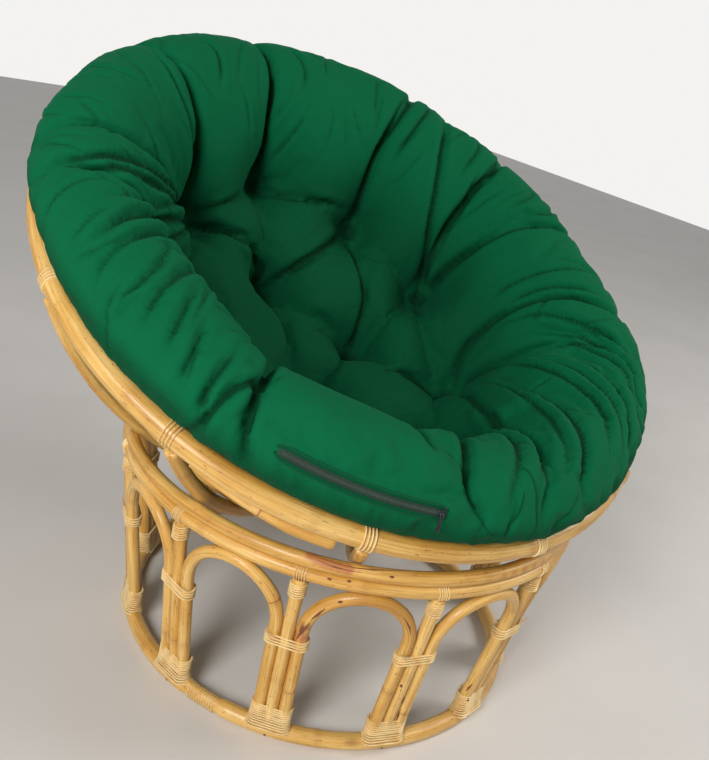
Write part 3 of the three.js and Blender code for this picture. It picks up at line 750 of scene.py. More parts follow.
def winding_tree():
    made = Tree("cane_winding", {
        "Half spread": 0.0, "Wrap radius": 0.01, "Turns": 4.0, "Pitch": 0.004, "Strand width": 0.004,
        "Strand thickness": 0.002, "Wobble": 0.0, "Slant": 0.0, "Flare": 0.0, "Seed": 0, "Material": None})
    given, times, plus, maths = made.given, made.times, made.plus, made.maths
    vector, node = made.vector, made.node
    steps = plus(times(given("Turns"), float(turn_steps)), 1.0)

    def noise(place, scale, reach):
        rough = node("ShaderNodeTexNoise", {}, {"Vector": place, "Scale": scale, "Detail": 1.0})
        return times(plus(rough, -0.5), times(given("Wobble"), reach))

    def wound(copy):
        line = node("GeometryNodeMeshToCurve", {}, {"Mesh": node("GeometryNodeMeshLine", {}, {"Count": steps})})
        share = maths("DIVIDE", node("GeometryNodeInputIndex"), float(turn_steps))
        angle = plus(times(share, 2 * pi), -pi / 2)
        seed = plus(times(given("Seed"), 3.7), copy_seed * copy)
        lift = noise(vector(times(share, 2.3), seed), 1.0, 2.0)
        drift = noise(vector(times(share, 1.9), 0.0, seed), 1.3, 5.0)
        middle = plus(share, times(given("Turns"), -0.5))
        low = maths("MAXIMUM", times(middle, -1.0), 0.0)
        flared = times(times(low, low), given("Flare"))
        reach = plus(plus(given("Wrap radius"), flared), maths("ABSOLUTE", lift))
        across = maths("COSINE", angle)
        x = plus(times(across, reach), times(maths("SIGN", across), given("Half spread")))
        slant = times(given("Slant"), 1.0 - 0.8 * copy)
        z = plus(plus(times(middle, given("Pitch")), drift), times(x, slant))
        place = vector(x, times(maths("SINE", angle), reach), z)
        bent = node("GeometryNodeSetPosition", {}, {"Geometry": line, "Position": place})
        upright = node("GeometryNodeSetCurveNormal", {"mode": "Z_UP"}, {"Curve": bent})
        section = node("GeometryNodeCurvePrimitiveCircle", {"mode": "RADIUS"}, {"Resolution": 8, "Radius": 0.5})
        spot = node("ShaderNodeSeparateXYZ", {}, {0: node("GeometryNodeInputPosition")})
        marked = node("GeometryNodeStoreNamedAttribute", {"data_type": "FLOAT", "domain": "POINT"},
                      {"Geometry": section, "Name": "strand", "Value": plus(spot, 0.5)})
        size = vector(given("Strand width"), given("Strand thickness"), 1.0)
        shaped = node("GeometryNodeTransform", {}, {"Geometry": marked, "Scale": size})
        swept = node("GeometryNodeCurveToMesh", {}, {"Curve": upright, "Profile Curve": shaped,
                                                     "Fill Caps": True})
        return node("GeometryNodeGeometryToInstance", {}, {"Geometry": swept})

    copies = [wound(copy) for copy in reversed(range(copy_count))]
    turned = node("GeometryNodeInputNamedAttribute", {"data_type": "FLOAT_VECTOR"}, {"Name": "turned"})
    made.put(node("GeometryNodeJoinGeometry", {}, {"Geometry": copies}), given("Geometry"), turned,
             **{"Pick Instance": True})
    return made


winding = winding_tree()
print("node tree", winding.tree.name, "with", len(winding.tree.nodes), "nodes")

# %% Putting windings on their places


def windings(name, body, nodes, places, **sizes):
    """A winding on each (centre, out, axis): its X goes across, its Y out and its Z along the axis."""
    turns = []
    for _, out, axis in places:
        out, axis = Vector(out).normalized(), Vector(axis).normalized()
        turns.append(list(Matrix((out.cross(axis), out, axis)).transposed().to_euler()))
    holder = mesh_object(name, [centre for centre, _, _ in places], [], cane, {"turned": np.array(turns)})
    values = {key.replace("_", " ").capitalize(): value for key, value in sizes.items()}
    return finished(node_made(holder, winding, {**values, "Material": cane}), body, "cane", *nodes)


# %% [markdown]
# ## The base's bindings
# At each station cane ties a post and the two arch legs beside it: a broad band at the foot, a narrow one at
# mid height, and a collar round the post's top. A tie goes over the lower top hoop above it, and a long band
# covers the foot hoop's joint.

# %% Foot, middle and collar bindings
foot_band_height, middle_band_height, collar_height = 39 * MM, 186 * MM, pole_top - 16 * MM
legs_wrap, collar_wrap = 10.1 * MM, 10.2 * MM


def station(index, height):
    """A place on the wall between two arches, with the way out and the way up the lean."""
    outward = facing(index + 0.5)
    axis = outward * sin(lean) + np.array([0, 0, cos(lean)])
    return on_base(station_angle * (index + 0.5), wall_radius(height), height), outward, axis


def on_hoop(angle, radius, height):
    """A place on a hoop of the base, with the way out and the way along it."""
    return on_base(angle, radius, height), spun(1.0, 0.0, angle), spun(1.0, 0.0, angle + pi / 2)


def stations(height):
    return [station(index, height) for index in range(station_count)]


numbers = [f"{index + 1:02d}" for index in range(station_count)]
windings("cane_foot_bindings", "base", [f"foot_binding_{n}" for n in numbers], stations(foot_band_height),
         half_spread=pole_spacing, wrap_radius=legs_wrap, turns=11.0, pitch=3.7 * MM, strand_width=3.6 * MM,
         strand_thickness=1.5 * MM, wobble=0.5 * MM, slant=0.03, flare=0.16 * MM, seed=4)
windings("cane_middle_bindings", "base", [], stations(middle_band_height),
         half_spread=pole_spacing, wrap_radius=legs_wrap, turns=4.0, pitch=4.4 * MM, strand_width=4.2 * MM,
         strand_thickness=1.7 * MM, wobble=0.7 * MM, slant=0.13, seed=9)
windings("cane_collars", "base", [], stations(collar_height),
         wrap_radius=collar_wrap, turns=6.0, pitch=3.6 * MM, strand_width=3.4 * MM,
         strand_thickness=1.6 * MM, wobble=0.4 * MM, seed=2)
windings("cane_hoop_ties", "base", [],
         [on_hoop(station_angle * (i + 0.5), top_radius, lower_top_height) for i in range(station_count)],
         wrap_radius=top_pole / 2 + 0.7 * MM, turns=5.0, pitch=3.3 * MM, strand_width=2.7 * MM,
         strand_thickness=1.3 * MM, wobble=0.6 * MM, slant=0.16, seed=12)
windings("cane_splice", "base", ["splice_binding"], [on_hoop(splice_angle, foot_radius, foot_height)],
         wrap_radius=splice_waist / 2 + 0.1 * MM, turns=11.0, pitch=4.3 * MM, strand_width=4.2 * MM,
         strand_thickness=1.4 * MM, wobble=0.2 * MM, seed=1)

# %% Loose ends of the middle bindings
loose_places = [(-4, 10.2, 7, 0), (4, 11.2, 9, 0), (10, 12.2, 9, 0.5), (13, 13.0, 9, 1)]
for index in range(station_count):
    rng = np.random.default_rng(400 + index)
    centre, outward, axis = station(index, middle_band_height)
    across = np.cross(outward, axis) * (1 if index % 3 else -1)
    curl = rng.uniform(0.004, 0.010)
    loose = [centre + across * (pole_spacing + a * MM) + outward * (o * MM) + axis * (u * MM + curl * share)
             for a, o, u, share in loose_places]
    end = stem(f"cane_end_{index + 1:02d}", loose, 2.0 * MM, first=outward, sides=8, step=0.002,
               seed=420 + index, **slim, material=cane,
               girth=lambda share: 1 - 0.6 * np.clip((share - 0.6) / 0.4, 0, 1))
    finished(end, "base", "cane")

# %% [markdown]
# ## The bowl
# The bowl is a sphere-shaped basket: a thick rim, a thin pale hoop inside it, twelve ribs that slant past the
# bottom instead of meeting there, a middle hoop inside the ribs and a ring below. Its own frame has the
# sphere's centre at the origin and the rim square to its axis, so every path is written there and then turned.

# %% The bowl's measures and its rim
bowl_frame = np.stack([bowl_across, bowl_up, bowl_axis])
bowl_radius = 531 * MM
rim_drop = 182 * MM
rim_inset = 8.3 * MM
rim_pole, rib_pole, inner_pole, middle_pole, bottom_pole = 31 * MM, 20 * MM, 14 * MM, 14 * MM, 16 * MM
rib_count = 12
rib_turn = radians(3)
rib_pass = radians(17)
rib_head_gap, rib_tail, ring_sink = 1.4 * MM, 16 * MM, 5 * MM
middle_angle = radians(46)
bottom_angle = radians(23)
rim_sphere = bowl_radius - rim_inset
rim_radius = sqrt(rim_sphere ** 2 - rim_drop ** 2)
rim_angle = acos(rim_drop / rim_sphere)
rim_winding_reach = 19.1 * MM
pole_corner = 1 / cos(pi / 8)
inner_radius = rim_radius - rim_winding_reach / pole_corner - clearance - inner_pole / 2
middle_sphere = bowl_radius - rib_pole / 2 - clearance - middle_pole / 2 * pole_corner
bottom_sphere = bowl_radius - rib_pole / 2 - bottom_pole / 2 + ring_sink


def in_bowl(points):
    """From the bowl's own frame to the row's."""
    return np.asarray(points, float) @ bowl_frame + bowl_centre


def on_sphere(radius, down, angle):
    return spun(radius * np.sin(down), -radius * np.cos(down), angle)


def bowl_pole(name, path, pole, *nodes, **looks):
    """A pole of the bowl, along a path in the bowl's own frame."""
    looks = {"first": bowl_axis, **looks}
    return finished(stem(name, in_bowl(path), pole, **looks), "bowl", "rattan", *nodes)


def bowl_hoop(name, radius, height, pole, *nodes, **looks):
    return bowl_pole(name, circle(radius, height, looks.pop("start", 0.0)), pole, *nodes, closed=True, **looks)


bowl_hoop("pole_bowl_rim", rim_radius, -rim_drop, rim_pole, "bowl_rim", start=2.0, sides=22, seed=21,
          tint=0.50, waviness=0.0008, node_gap=0.28)
print("rim's radius", round(rim_radius, 4), "bowl's radius", bowl_radius)

# %% Inner hoop, middle hoop, bottom ring and ribs
rib_slant = asin(sin(rib_pass) / sin(rim_angle))
rib_end_drop = rim_winding_reach + rib_head_gap + rib_pole / 2 * sin(rib_slant)
rib_top = acos(rim_drop / bowl_radius) - rib_end_drop / bowl_radius
rib_low = bottom_angle - rib_tail / bowl_radius
rib_tints = [0.5, 0.62, 0.45, 0.58, 0.52, 0.66, 0.48, 0.55, 0.6, 0.44, 0.57, 0.5]


def bearing(down):
    """How far a rib has turned round the axis at an angle from straight down."""
    return np.arccos(np.minimum(1, tan(rib_pass) / np.tan(down)))


bowl_hoop("pole_bowl_inner_hoop", inner_radius, -rim_drop, inner_pole, "bowl_inner_hoop", sides=12, seed=22,
          tint=0.30, material=core)
bowl_hoop("pole_bowl_middle_hoop", middle_sphere * sin(middle_angle), -middle_sphere * cos(middle_angle),
          middle_pole, "bowl_mid_hoop", sides=12, seed=23, tint=0.55)
bowl_hoop("pole_bowl_bottom_ring", bottom_sphere * sin(bottom_angle), -bottom_sphere * cos(bottom_angle),
          bottom_pole, sides=12, seed=24, tint=0.6)
for index in range(rib_count):
    down = np.linspace(rib_top, rib_low, 60)
    turn = rib_turn + 2 * pi * index / rib_count + bearing(rim_angle) - bearing(down)
    path = on_sphere(bowl_radius, down, turn)
    bowl_pole(f"pole_rib_{index + 1:02d}", path, rib_pole, *(["bowl_ribs"] if index == 0 else []),
              first=path[0] @ bowl_frame, sides=14, seed=100 + index, tint=rib_tints[index], node_gap=0.22,
              waviness=0.0002)
print("ribs:", rib_count)

# %% [markdown]
# ## The rim's lapped end and bindings
# The rim's pole laps under itself at the front left: a thin tail that swells to a belly and ends at a binding.
# Each rib's head is tied to the rim with a few turns of cane.

# %% Lap and rim bindings
lap_from, lap_thickest, lap_to = radians(-143), radians(-127), radians(-120.5)
lap_thin, lap_thick = 10 * MM, 22 * MM


def lap_width(turn):
    grown = np.clip((turn - lap_from) / (lap_thickest - lap_from), 0, 1)
    return lap_thin + (lap_thick - lap_thin) * grown


lap_turn = np.linspace(lap_from, lap_to, 60)
lap_path = spun(rim_radius, -rim_drop - rim_pole / 2 - clearance - lap_width(lap_turn) / 2, lap_turn)
bowl_pole("pole_rim_lap", lap_path, lap_thin, "bowl_rim_lap", sides=16, seed=31, tint=0.5, waviness=0.0,
          girth=lambda share: lap_width(lap_from + share * (lap_to - lap_from)) / lap_thin)


def rim_place(turn):
    """A place on the rim, with the way out and the way along it."""
    ways = np.array([spun(1.0, 0.0, turn), spun(1.0, 0.0, turn + pi / 2)]) @ bowl_frame
    return in_bowl(spun(rim_radius, -rim_drop, turn)), *ways


windings("cane_rim_bindings", "bowl", [f"rim_binding_{n}" for n in numbers],
         [rim_place(rib_turn + 2 * pi * index / rib_count) for index in range(rib_count)],
         wrap_radius=16.1 * MM, turns=4.0, pitch=4.7 * MM, strand_width=4.5 * MM, strand_thickness=1.8 * MM,
         wobble=0.4 * MM, seed=6)

# %% [markdown]
# ## The cushion
# The cushion is a filled disc of cotton, dished to the bowl, with a thick rolled edge. Buttons pull twelve
# tufts in; from each, folds run over the roll and the filling puffs up between them. Its first shape is a line
# of the outline turned round the bowl's axis, with puffs and hollows along the outline's normal. A cloth
# simulation with pressure then swells it, and the narrow folds come last, because a remesh would lose them.
# A place on the cover is an angle round the axis and a length over the cover from the seat's middle.

# %% The outline
seat_thickness = 114 * MM
underside_sphere = middle_sphere - middle_pole / 2 - clearance
inner_inside = inner_radius * cos(pi / 48) - inner_pole / 2 * pole_corner - clearance
underside_edge = asin(inner_inside / underside_sphere)
seat_radius = underside_sphere - seat_thickness
roll_inset, seat_edge_inset = 36 * MM, 128 * MM
roll_radius = rim_radius - roll_inset
seat_edge_radius = roll_radius - seat_edge_inset
roll_half_width, roll_half_height = 52 * MM, 43 * MM
roll_foot = rim_winding_reach / pole_corner + clearance - rim_drop
roll_middle = roll_foot + roll_half_height
roll_shares = [(-1.58, -0.4), (-0.8, 0.7), (0, 1), (0.74, 0.62), (1, -0.1), (0.88, -0.74), (0.62, -1),
               (0.3, -1)]
seat_edge = asin(seat_edge_radius / seat_radius)


def smooth_through(points, steps):
    """A Catmull-Rom line through points."""
    padded = np.vstack([points[:1], points, points[-1:]])
    t = (np.arange(steps) / steps)[:, None]
    line = []
    for p0, p1, p2, p3 in zip(padded, padded[1:], padded[2:], padded[3:]):
        a, b = (p2 - p0) / 2, (p3 - p1) / 2
        line.append((2 * p1 - 2 * p2 + a + b) * t ** 3 + (3 * p2 - 3 * p1 - 2 * a - b) * t ** 2 + a * t + p1)
    return np.vstack([*line, points[-1:]])


def sphere_line(radius, down):
    """The part of a sphere's outline between two angles from straight down, as (radius, height) points."""
    return np.stack([radius * np.sin(down), -radius * np.cos(down)], axis=1)


seat_line = sphere_line(seat_radius, np.linspace(0, seat_edge, 90))
roll_knots = [seat_line[-1]] + [(roll_radius + a * roll_half_width, roll_middle + u * roll_half_height)
                                for a, u in roll_shares]
roll_line = smooth_through(np.array(roll_knots), 24)
top_line, top_along, foot_along = respaced(np.vstack([seat_line, roll_line[1:]]), 6 * MM)
wall_line = np.array([[inner_inside, -rim_drop + inner_pole], [inner_inside, -rim_drop - inner_pole]])
under_line = sphere_line(underside_sphere, np.linspace(underside_edge, 0, 40))
bottom_line, bottom_along, _ = respaced(np.vstack([wall_line, under_line]), 12 * MM)
outline = np.vstack([top_line, bottom_line])
print("cover's length from the middle to the foot", round(foot_along, 4), "rings", len(outline))

# %% Tufts, folds and wrinkles
# Tufts as (angle round in degrees, length over the cover in mm). The ones in sight are read from the photograph
# through the camera; the ones behind the roll are guessed.
outer_tufts = [(131, 320), (95, 338), (57, 304), (21, 274), (-28, 232), (-70, 262), (-110, 285), (-150, 300),
               (170, 315)]
inner_tufts = [(105, 161), (15, 104), (-128, 112)]

# Folds from the roll's foot to a tuft, as (crease mm, hollow mm, line of places). The lines follow the
# photograph where it shows them; the depths are set.
main_folds = [
    (10, 34, [(124, 640), (123, 575), (123, 489), (124, 420), (131, 322)]),
    (10, 36, [(96, 650), (95, 560), (96, 454), (95, 399), (95, 342)]),
    (9, 30, [(55, 650), (57, 560), (60, 470), (60, 410), (57, 308)]),
    (9, 26, [(47, 600), (44, 510), (38, 430), (30, 346), (22, 278)]),
    (9, 26, [(31, 640), (30, 555), (30, 480), (28, 361), (22, 278)]),
    (9, 26, [(4, 640), (8, 545), (13, 480), (18, 380), (21, 280)]),
    (8, 24, [(-24, 620), (-19, 541), (-14, 470), (-11, 370), (-17, 280), (-27, 238)]),
    (8, 20, [(-42, 620), (-36, 547), (-29, 454), (-28, 350), (-28, 238)]),
    (9, 24, [(-92, 660), (-90, 590), (-80, 480), (-66, 380), (-46, 290), (-30, 236)]),
    (12, 38, [(-101, 650), (-105, 600), (-104, 540), (-90, 400), (-70, 268)]),
    (9, 18, [(-81, 650), (-80, 590), (-70, 520), (-56, 440), (-40, 350)]),
    (9, 18, [(-64, 650), (-60, 600), (-50, 545), (-40, 490), (-30, 420)]),
    (8, 16, [(-47, 640), (-44, 600), (-35, 540), (-27, 470), (-20, 400)]),
    (8, 18, [(-112, 560), (-112, 450), (-110, 290)]),
    (12, 30, [(-135, 690), (-138, 650), (-140, 600), (-141, 540), (-145, 420), (-150, 306)]),
    (9, 26, [(172, 660), (171, 600), (171, 500), (170, 320)]),
    (11, 30, [(163, 680), (160, 600), (157, 540), (152, 470), (142, 390), (132, 324)]),
]

# Narrow folds that only crease the cover, as (depth mm, half width mm, line)
creases = [
    (6, 4, [(126, 600), (128, 530), (128, 470), (128, 400), (131, 330)]),
    (5, 4, [(89, 600), (86, 545), (88, 490)]),
    (7, 5, [(171, 655), (170, 615), (169, 582), (166, 543), (158, 477), (140, 380), (132, 326)]),
    (6, 5, [(174, 610), (170, 560), (163, 489), (150, 410), (135, 335)]),
    (7, 5, [(-173, 640), (-174, 594), (177, 498), (158, 400), (134, 320)]),
    (5, 4, [(180, 600), (173, 500), (150, 400), (135, 330)]),
    (6, 5, [(-168, 640), (-170, 594), (176, 440), (150, 345), (133, 310)]),
    (5, 4, [(-177, 560), (165, 430), (146, 350)]),
    (5, 4, [(168, 520), (155, 430), (141, 365)]),
    (5, 4, [(-163, 625), (-164, 580), (-168, 540)]),
    (5, 5, [(-157, 630), (-160, 590), (-164, 530), (-174, 430)]),
    (5, 4, [(-153, 620), (-156, 575), (-161, 520)]),
    (5, 4, [(-149, 640), (-151, 590), (-154, 550)]),
    (7, 5, [(-138, 520), (-143, 600), (-144, 660), (-146, 715)]),
    (6, 4, [(-145, 660), (-146, 600), (-147, 540)]),
    (7, 5, [(-58, 290), (-73, 390), (-88, 500), (-96, 568), (-99, 620), (-97, 680)]),
    (6, 4, [(-50, 300), (-70, 420), (-86, 530), (-93, 600), (-94, 660)]),
    (6, 4, [(-32, 250), (-46, 361), (-63, 445), (-78, 530), (-86, 590), (-87, 650)]),
    (6, 4, [(-26, 300), (-35, 380), (-46, 450), (-58, 520), (-70, 580), (-75, 650)]),
    (5, 4, [(-33, 400), (-45, 480), (-56, 540), (-66, 600), (-70, 660)]),
    (5, 4, [(-25, 431), (-33, 486), (-41, 551), (-50, 605), (-54, 650)]),
    (5, 4, [(-14, 356), (-18, 430), (-27, 510), (-33, 570), (-36, 620)]),
    (5, 4, [(-9, 380), (-10, 450), (-14, 520), (-17, 580)]),
    (5, 4, [(-4, 350), (-4, 430), (-7, 520), (-10, 590)]),
    (4, 4, [(20, 600), (18, 545), (20, 480)]),
    (5, 4, [(14, 620), (12, 560), (16, 500)]),
    (5, 4, [(38, 610), (36, 550), (36, 470)]),
    (6, 4, [(51, 620), (52, 560), (54, 490), (56, 420)]),
    (4, 4, [(66, 590), (66, 540), (64, 480)]),
    (5, 4, [(112, 600), (110, 560), (114, 500)]),
    (5, 4, [(140, 640), (141, 590), (138, 540)]),
    (6, 5, [(131, 318), (122, 282), (110, 240), (101, 200), (104, 166)]),
    (5, 4, [(95, 336), (86, 322), (70, 325), (60, 330)]),
    (6, 5, [(105, 163), (84, 190), (68, 240), (60, 290)]),
    (6, 4, [(57, 302), (50, 240), (36, 180), (17, 108)]),
    (5, 4, [(21, 272), (14, 250), (6, 234)]),
    (6, 5, [(-28, 230), (-24, 190), (-26, 150), (-44, 115)]),
    (5, 4, [(128, 318), (112, 322), (100, 330)]),
    (5, 4, [(15, 106), (40, 70), (100, 60)]),
]

# Short fine wrinkles as (from degrees, to degrees, how many): scattered by a fixed seed, not read one by one
wrinkle_fields = [(148, 216, 44), (-104, -12, 26), (-12, 100, 26), (100, 148, 12)]

# Shallow valleys between neighbouring tufts
valleys = [
    [(131, 320), (95, 338)], [(95, 338), (78, 317), (57, 304)], [(57, 304), (21, 274)], [(21, 274), (-28, 232)],
    [(-28, 232), (-70, 262)], [(-70, 262), (-110, 285)], [(-110, 285), (-150, 300)], [(-150, 300), (170, 315)],
    [(170, 315), (131, 320)], [(131, 320), (114, 263), (101, 224), (105, 161)], [(95, 338), (105, 161)],
    [(105, 161), (60, 268), (57, 304)], [(57, 304), (46, 234), (20, 136), (15, 104)], [(21, 274), (15, 104)],
    [(-28, 232), (-24, 151), (15, 104)], [(105, 161), (15, 104)], [(-70, 262), (-128, 112)],
    [(-110, 285), (-128, 112)], [(-150, 300), (-128, 112)], [(-128, 112), (15, 104)], [(-128, 112), (105, 161)],
]
print("main folds", len(main_folds), "creases", len(creases), "tufts", len(outer_tufts) + len(inner_tufts))

# %% Places on the flat cover


def on_flat(angle, length):
    """Places on the cover as points of a plane, where the length over the cover is the radius."""
    return spun(length, 0.0, angle)[..., :2]


def flat(places):
    """The same for a list of places in degrees and mm."""
    angle, length = np.array(places, float).T
    return on_flat(np.radians(angle), length * MM)


def near_line(points, line, far):
    """Distance to a smoothed line, and the share along it; farther than far it isn't worked out."""
    line = smooth_through(line, 5) if len(line) > 2 else line
    along = distances(line)
    best, share = np.full(len(points), 9.0), np.zeros(len(points))
    low, high = line.min(axis=0) - far, line.max(axis=0) + far
    chosen = np.flatnonzero(((points > low) & (points < high)).all(axis=1))
    close = points[chosen]
    found, place = np.full(len(close), 9.0), np.zeros(len(close))
    for a, b, s in zip(line, line[1:], along):
        span = b - a
        t = np.clip(((close - a) @ span) / (span @ span), 0, 1)
        away = np.linalg.norm(close - a - t[:, None] * span, axis=1)
        nearer = away < found
        found[nearer], place[nearer] = away[nearer], (s + t[nearer] * sqrt(span @ span)) / along[-1]
    best[chosen], share[chosen] = found, place
    return best, share


tuft_spots = flat(outer_tufts + inner_tufts)


def tuft_gap(spots):
    return np.linalg.norm(spots[:, None] - tuft_spots[None], axis=2).min(axis=1)


# The zip lies on an even band of the cover, from and to these degrees, and so does its pull below it
zip_from, zip_to = -134.0, -110.0
zip_radius, zip_height = 495.2 * MM, -100.1 * MM
zip_at = int(np.hypot(top_line[:, 0] - zip_radius, top_line[:, 1] - zip_height).argmin())
zip_length, zip_half_band, pull_reach, zip_sunk = top_along[zip_at], 8 * MM, 26 * MM, 3 * MM
band_overrun = 1.2
print("zip at", round(zip_length, 4), "over the cover")


def in_zip_band(angle, length, low=zip_half_band, ramp=0.016):
    """1 on the even band from the zip's upper edge to low below its middle, and 0 away from it."""
    turn = np.degrees(angle)
    ends = (np.minimum(turn - zip_from, zip_to - turn) + band_overrun) * pi / 180 * zip_radius
    rows = np.minimum(length - zip_length + zip_half_band, zip_length + low - length)
    return np.clip(1 + np.minimum(ends, rows) / ramp, 0, 1)


# %% Puffs and hollows of the first shape
# Lengths over the cover, heights and reaches, in metres
seat_puff, seat_puff_end, seat_puff_ramp = 0.016, 0.50, 0.10
tuft_depth, tuft_reach, tuft_power = 0.056, 0.030, 1.25
valley_depth, valley_reach = 0.011, 0.024
swell_middle, swell_reach = 0.59, 0.10
crown_height, crown_middle, crown_reach = 0.010, 0.52, 0.12
fold_reach_at_foot, fold_reach_more, fold_power = 0.020, 0.014, 1.5
deepest_hollow = 0.046

# A broad fold's depth along its line, in shares of its length: it sets in over the first stretch with this
# share of its depth, and deepens towards the tuft over the second one
fold_start, fold_first_share, fold_deepens_from, fold_deepens_over = 0.12, 0.30, 0.15, 0.75

# How far the real roll stands beyond the even one, as (angle, mm)
roll_swell = [(-180, -4), (-150, -10), (-120, -12), (-90, -20), (-60, -36), (-30, -44), (0, -40), (30, -28),
              (60, -14), (90, -8), (110, -8), (135, -8), (160, -2), (180, -4)]


def puffed(angle, length):
    """How far the first shape stands out along the outline's normal, in metres."""
    spots = on_flat(angle, length)
    out = seat_puff * np.clip((seat_puff_end - length) / seat_puff_ramp, 0, 1)
    out -= tuft_depth * bell(tuft_gap(spots), tuft_reach, tuft_power)
    out += np.interp(np.degrees(angle), *zip(*roll_swell)) * MM * bell(length - swell_middle, swell_reach)
    for line in valleys:
        out -= valley_depth * bell(near_line(spots, flat(line), 0.08)[0], valley_reach)
    deepest = np.zeros(len(spots))
    for _, hollow, line in main_folds:
        gap, share = near_line(spots, flat(line), 0.14)
        deepened = np.clip((share - fold_deepens_from) / fold_deepens_over, 0, 1)
        towards_tuft = fold_first_share + (1 - fold_first_share) * deepened
        start = np.clip(share / fold_start, 0, 1)
        wide = fold_reach_at_foot + fold_reach_more * share
        deepest = np.maximum(deepest, hollow * MM * towards_tuft * start * bell(gap, wide, fold_power))
    out -= deepest
    out += crown_height * bell(length - crown_middle, crown_reach)
    sunk = np.maximum(-out, 0)
    out = np.maximum(out, 0) - sunk / (1 + (sunk / deepest_hollow) ** 6) ** (1 / 6)
    banded = in_zip_band(angle, length)
    return out * (1 - banded) - zip_sunk * banded


# %% Narrow folds and wrinkles
# Half widths in mm; a ridge beside a fold is (share of the fold's depth, place and width in half widths)
main_fold_width = 6.5
crease_deepened, crease_widened = 1.35, 1.2
wrinkle_width = 4.4
groove_power = 1.7
fold_ridge, wrinkle_ridge = (0.30, 2.6, 1.5), (0.35, 2.4, 1.4)
# The painted shade in a fold or a wrinkle is full at these depths in mm
darkest_fold, darkest_wrinkle = 10, 7
fade_at_foot, fade_at_tuft, fade_free = 0.20, 0.08, 0.35
gathers_at_tuft = 11
button_depth, button_reach, button_shade = 0.012, 0.011, 0.016


def scattered_wrinkles():
    """Fine wrinkles as (depth in mm, line), each a short bent line that runs across the roll."""
    rng = np.random.default_rng(31)
    lines = []
    for start, end, count in wrinkle_fields:
        for k in range(count):
            turn, middle = start + (end - start) * (k + rng.uniform(0, 1)) / count, rng.uniform(420, 650)
            reach, slant, bend = rng.uniform(30, 75), rng.uniform(-6, 6), rng.uniform(-1.5, 1.5)
            line = [(turn - slant, middle - reach), (turn + bend, middle), (turn + slant, middle + reach)]
            lines.append((rng.uniform(2.2, 4.2), line))
    return lines


def gathers():
    """Short puckers that leave every tuft, as (depth in metres, line)."""
    rng = np.random.default_rng(12)
    for centre in tuft_spots:
        turns = np.arange(gathers_at_tuft) * 2 * pi / gathers_at_tuft
        for turn in turns + rng.uniform(-0.22, 0.22, gathers_at_tuft):
            reach, bend = rng.uniform(0.04, 0.085), rng.uniform(-0.3, 0.3)
            way, side = np.array([cos(turn), sin(turn)]), np.array([-sin(turn), cos(turn)])
            line = np.array([centre + way * 0.010, centre + way * reach * 0.5 + side * reach * bend * 0.4,
                             centre + way * reach + side * reach * bend])
            yield rng.uniform(0.002, 0.0038), line


def creased(angle, length):
    """The narrow folds' offset in metres, and a mask of painted shade in the folds and round the buttons."""
    spots = on_flat(angle, length)
    out, deep = np.zeros(len(spots)), np.zeros(len(spots))
    nearest = tuft_gap(spots)
    off_tuft = np.clip(nearest / 0.05, 0, 1)

    def pinch(gap, depth, width, ends, ridge, ridge_ends, darkest):
        nonlocal out, deep
        height, place, spread = ridge
        out -= depth * MM * bell(gap, width * MM, groove_power) * ends
        out += depth * MM * height * bell(gap - place * width * MM, spread * width * MM) * ridge_ends
        # Painted shade in the fold, stronger where the fold is deeper
        deep = np.maximum(deep, bell(gap, width * MM) * ends * depth / darkest)

    folds = [(depth, main_fold_width, line) for depth, _, line in main_folds]
    folds += [(crease_deepened * depth, width + crease_widened, line) for depth, width, line in creases]
    for depth, width, line in folds:
        gap, share = near_line(spots, flat(line), 0.05)
        at_tuft = np.linalg.norm(tuft_spots - flat(line)[-1], axis=1).min() < 0.03
        fade, least = (fade_at_tuft, 0.3) if at_tuft else (fade_free, 0)
        ends = np.clip(share / fade_at_foot, 0, 1) * np.clip((1 - share) / fade, least, 1)
        pinch(gap, depth, width, ends, fold_ridge, ends * off_tuft, darkest_fold)
    for depth, line in scattered_wrinkles():
        gap, share = near_line(spots, flat(line), 0.03)
        ends = np.clip(np.minimum(share, 1 - share) / fade_free, 0, 1) * off_tuft
        pinch(gap, depth, wrinkle_width, ends, wrinkle_ridge, ends, darkest_wrinkle)
    for depth, line in gathers():
        gap, share = near_line(spots, line, 0.03)
        out -= depth * np.exp(-gap / (0.003 + 0.004 * share)) * (1 - share)
    out -= button_depth * bell(nearest, button_reach)
    # Painted shade round each button
    deep = np.maximum(deep, bell(nearest, button_shade))
    smooth = 1 - in_zip_band(angle, length, pull_reach)
    return out * smooth, np.clip(deep, 0, 1) * smooth


# %% The first shape
columns = 288


def turned_normals(line):
    along = unit(np.gradient(line, axis=0))
    return np.stack([-along[:, 1], along[:, 0]], axis=1)


def first_shape():
    """Rings of points down the outline, from the middle of the top to the middle of the underside."""
    angle = (np.arange(columns) * 2 * pi / columns + pi) % (2 * pi) - pi
    grid_angle, grid_length = np.meshgrid(angle, top_along)
    out = puffed(grid_angle.ravel(), grid_length.ravel()).reshape(grid_angle.shape)
    out = out * np.clip((foot_along - grid_length) / 0.07, 0, 1)
    section = np.repeat(outline[:, None], columns, axis=1)
    section[:len(top_line)] += out[..., None] * turned_normals(top_line)[:, None]
    return spun(section[..., 0], section[..., 1], angle)


def closed_sheet(name, rows, material):
    """A closed skin over rings of points, whose first and last ring are each one point."""
    count, around = rows.shape[:2]
    verts = np.vstack([rows[1:-1].reshape(-1, 3), rows[0].mean(axis=0)[None], rows[-1].mean(axis=0)[None]])
    top, bottom, last = len(verts) - 2, len(verts) - 1, (count - 3) * around
    faces = grid_faces(count - 2, around, inward=True)
    faces += [[top, k, (k + 1) % around] for k in range(around)]
    faces += [[bottom, last + (k + 1) % around, last + k] for k in range(around)]
    return mesh_object(name, in_bowl(verts), faces, material)


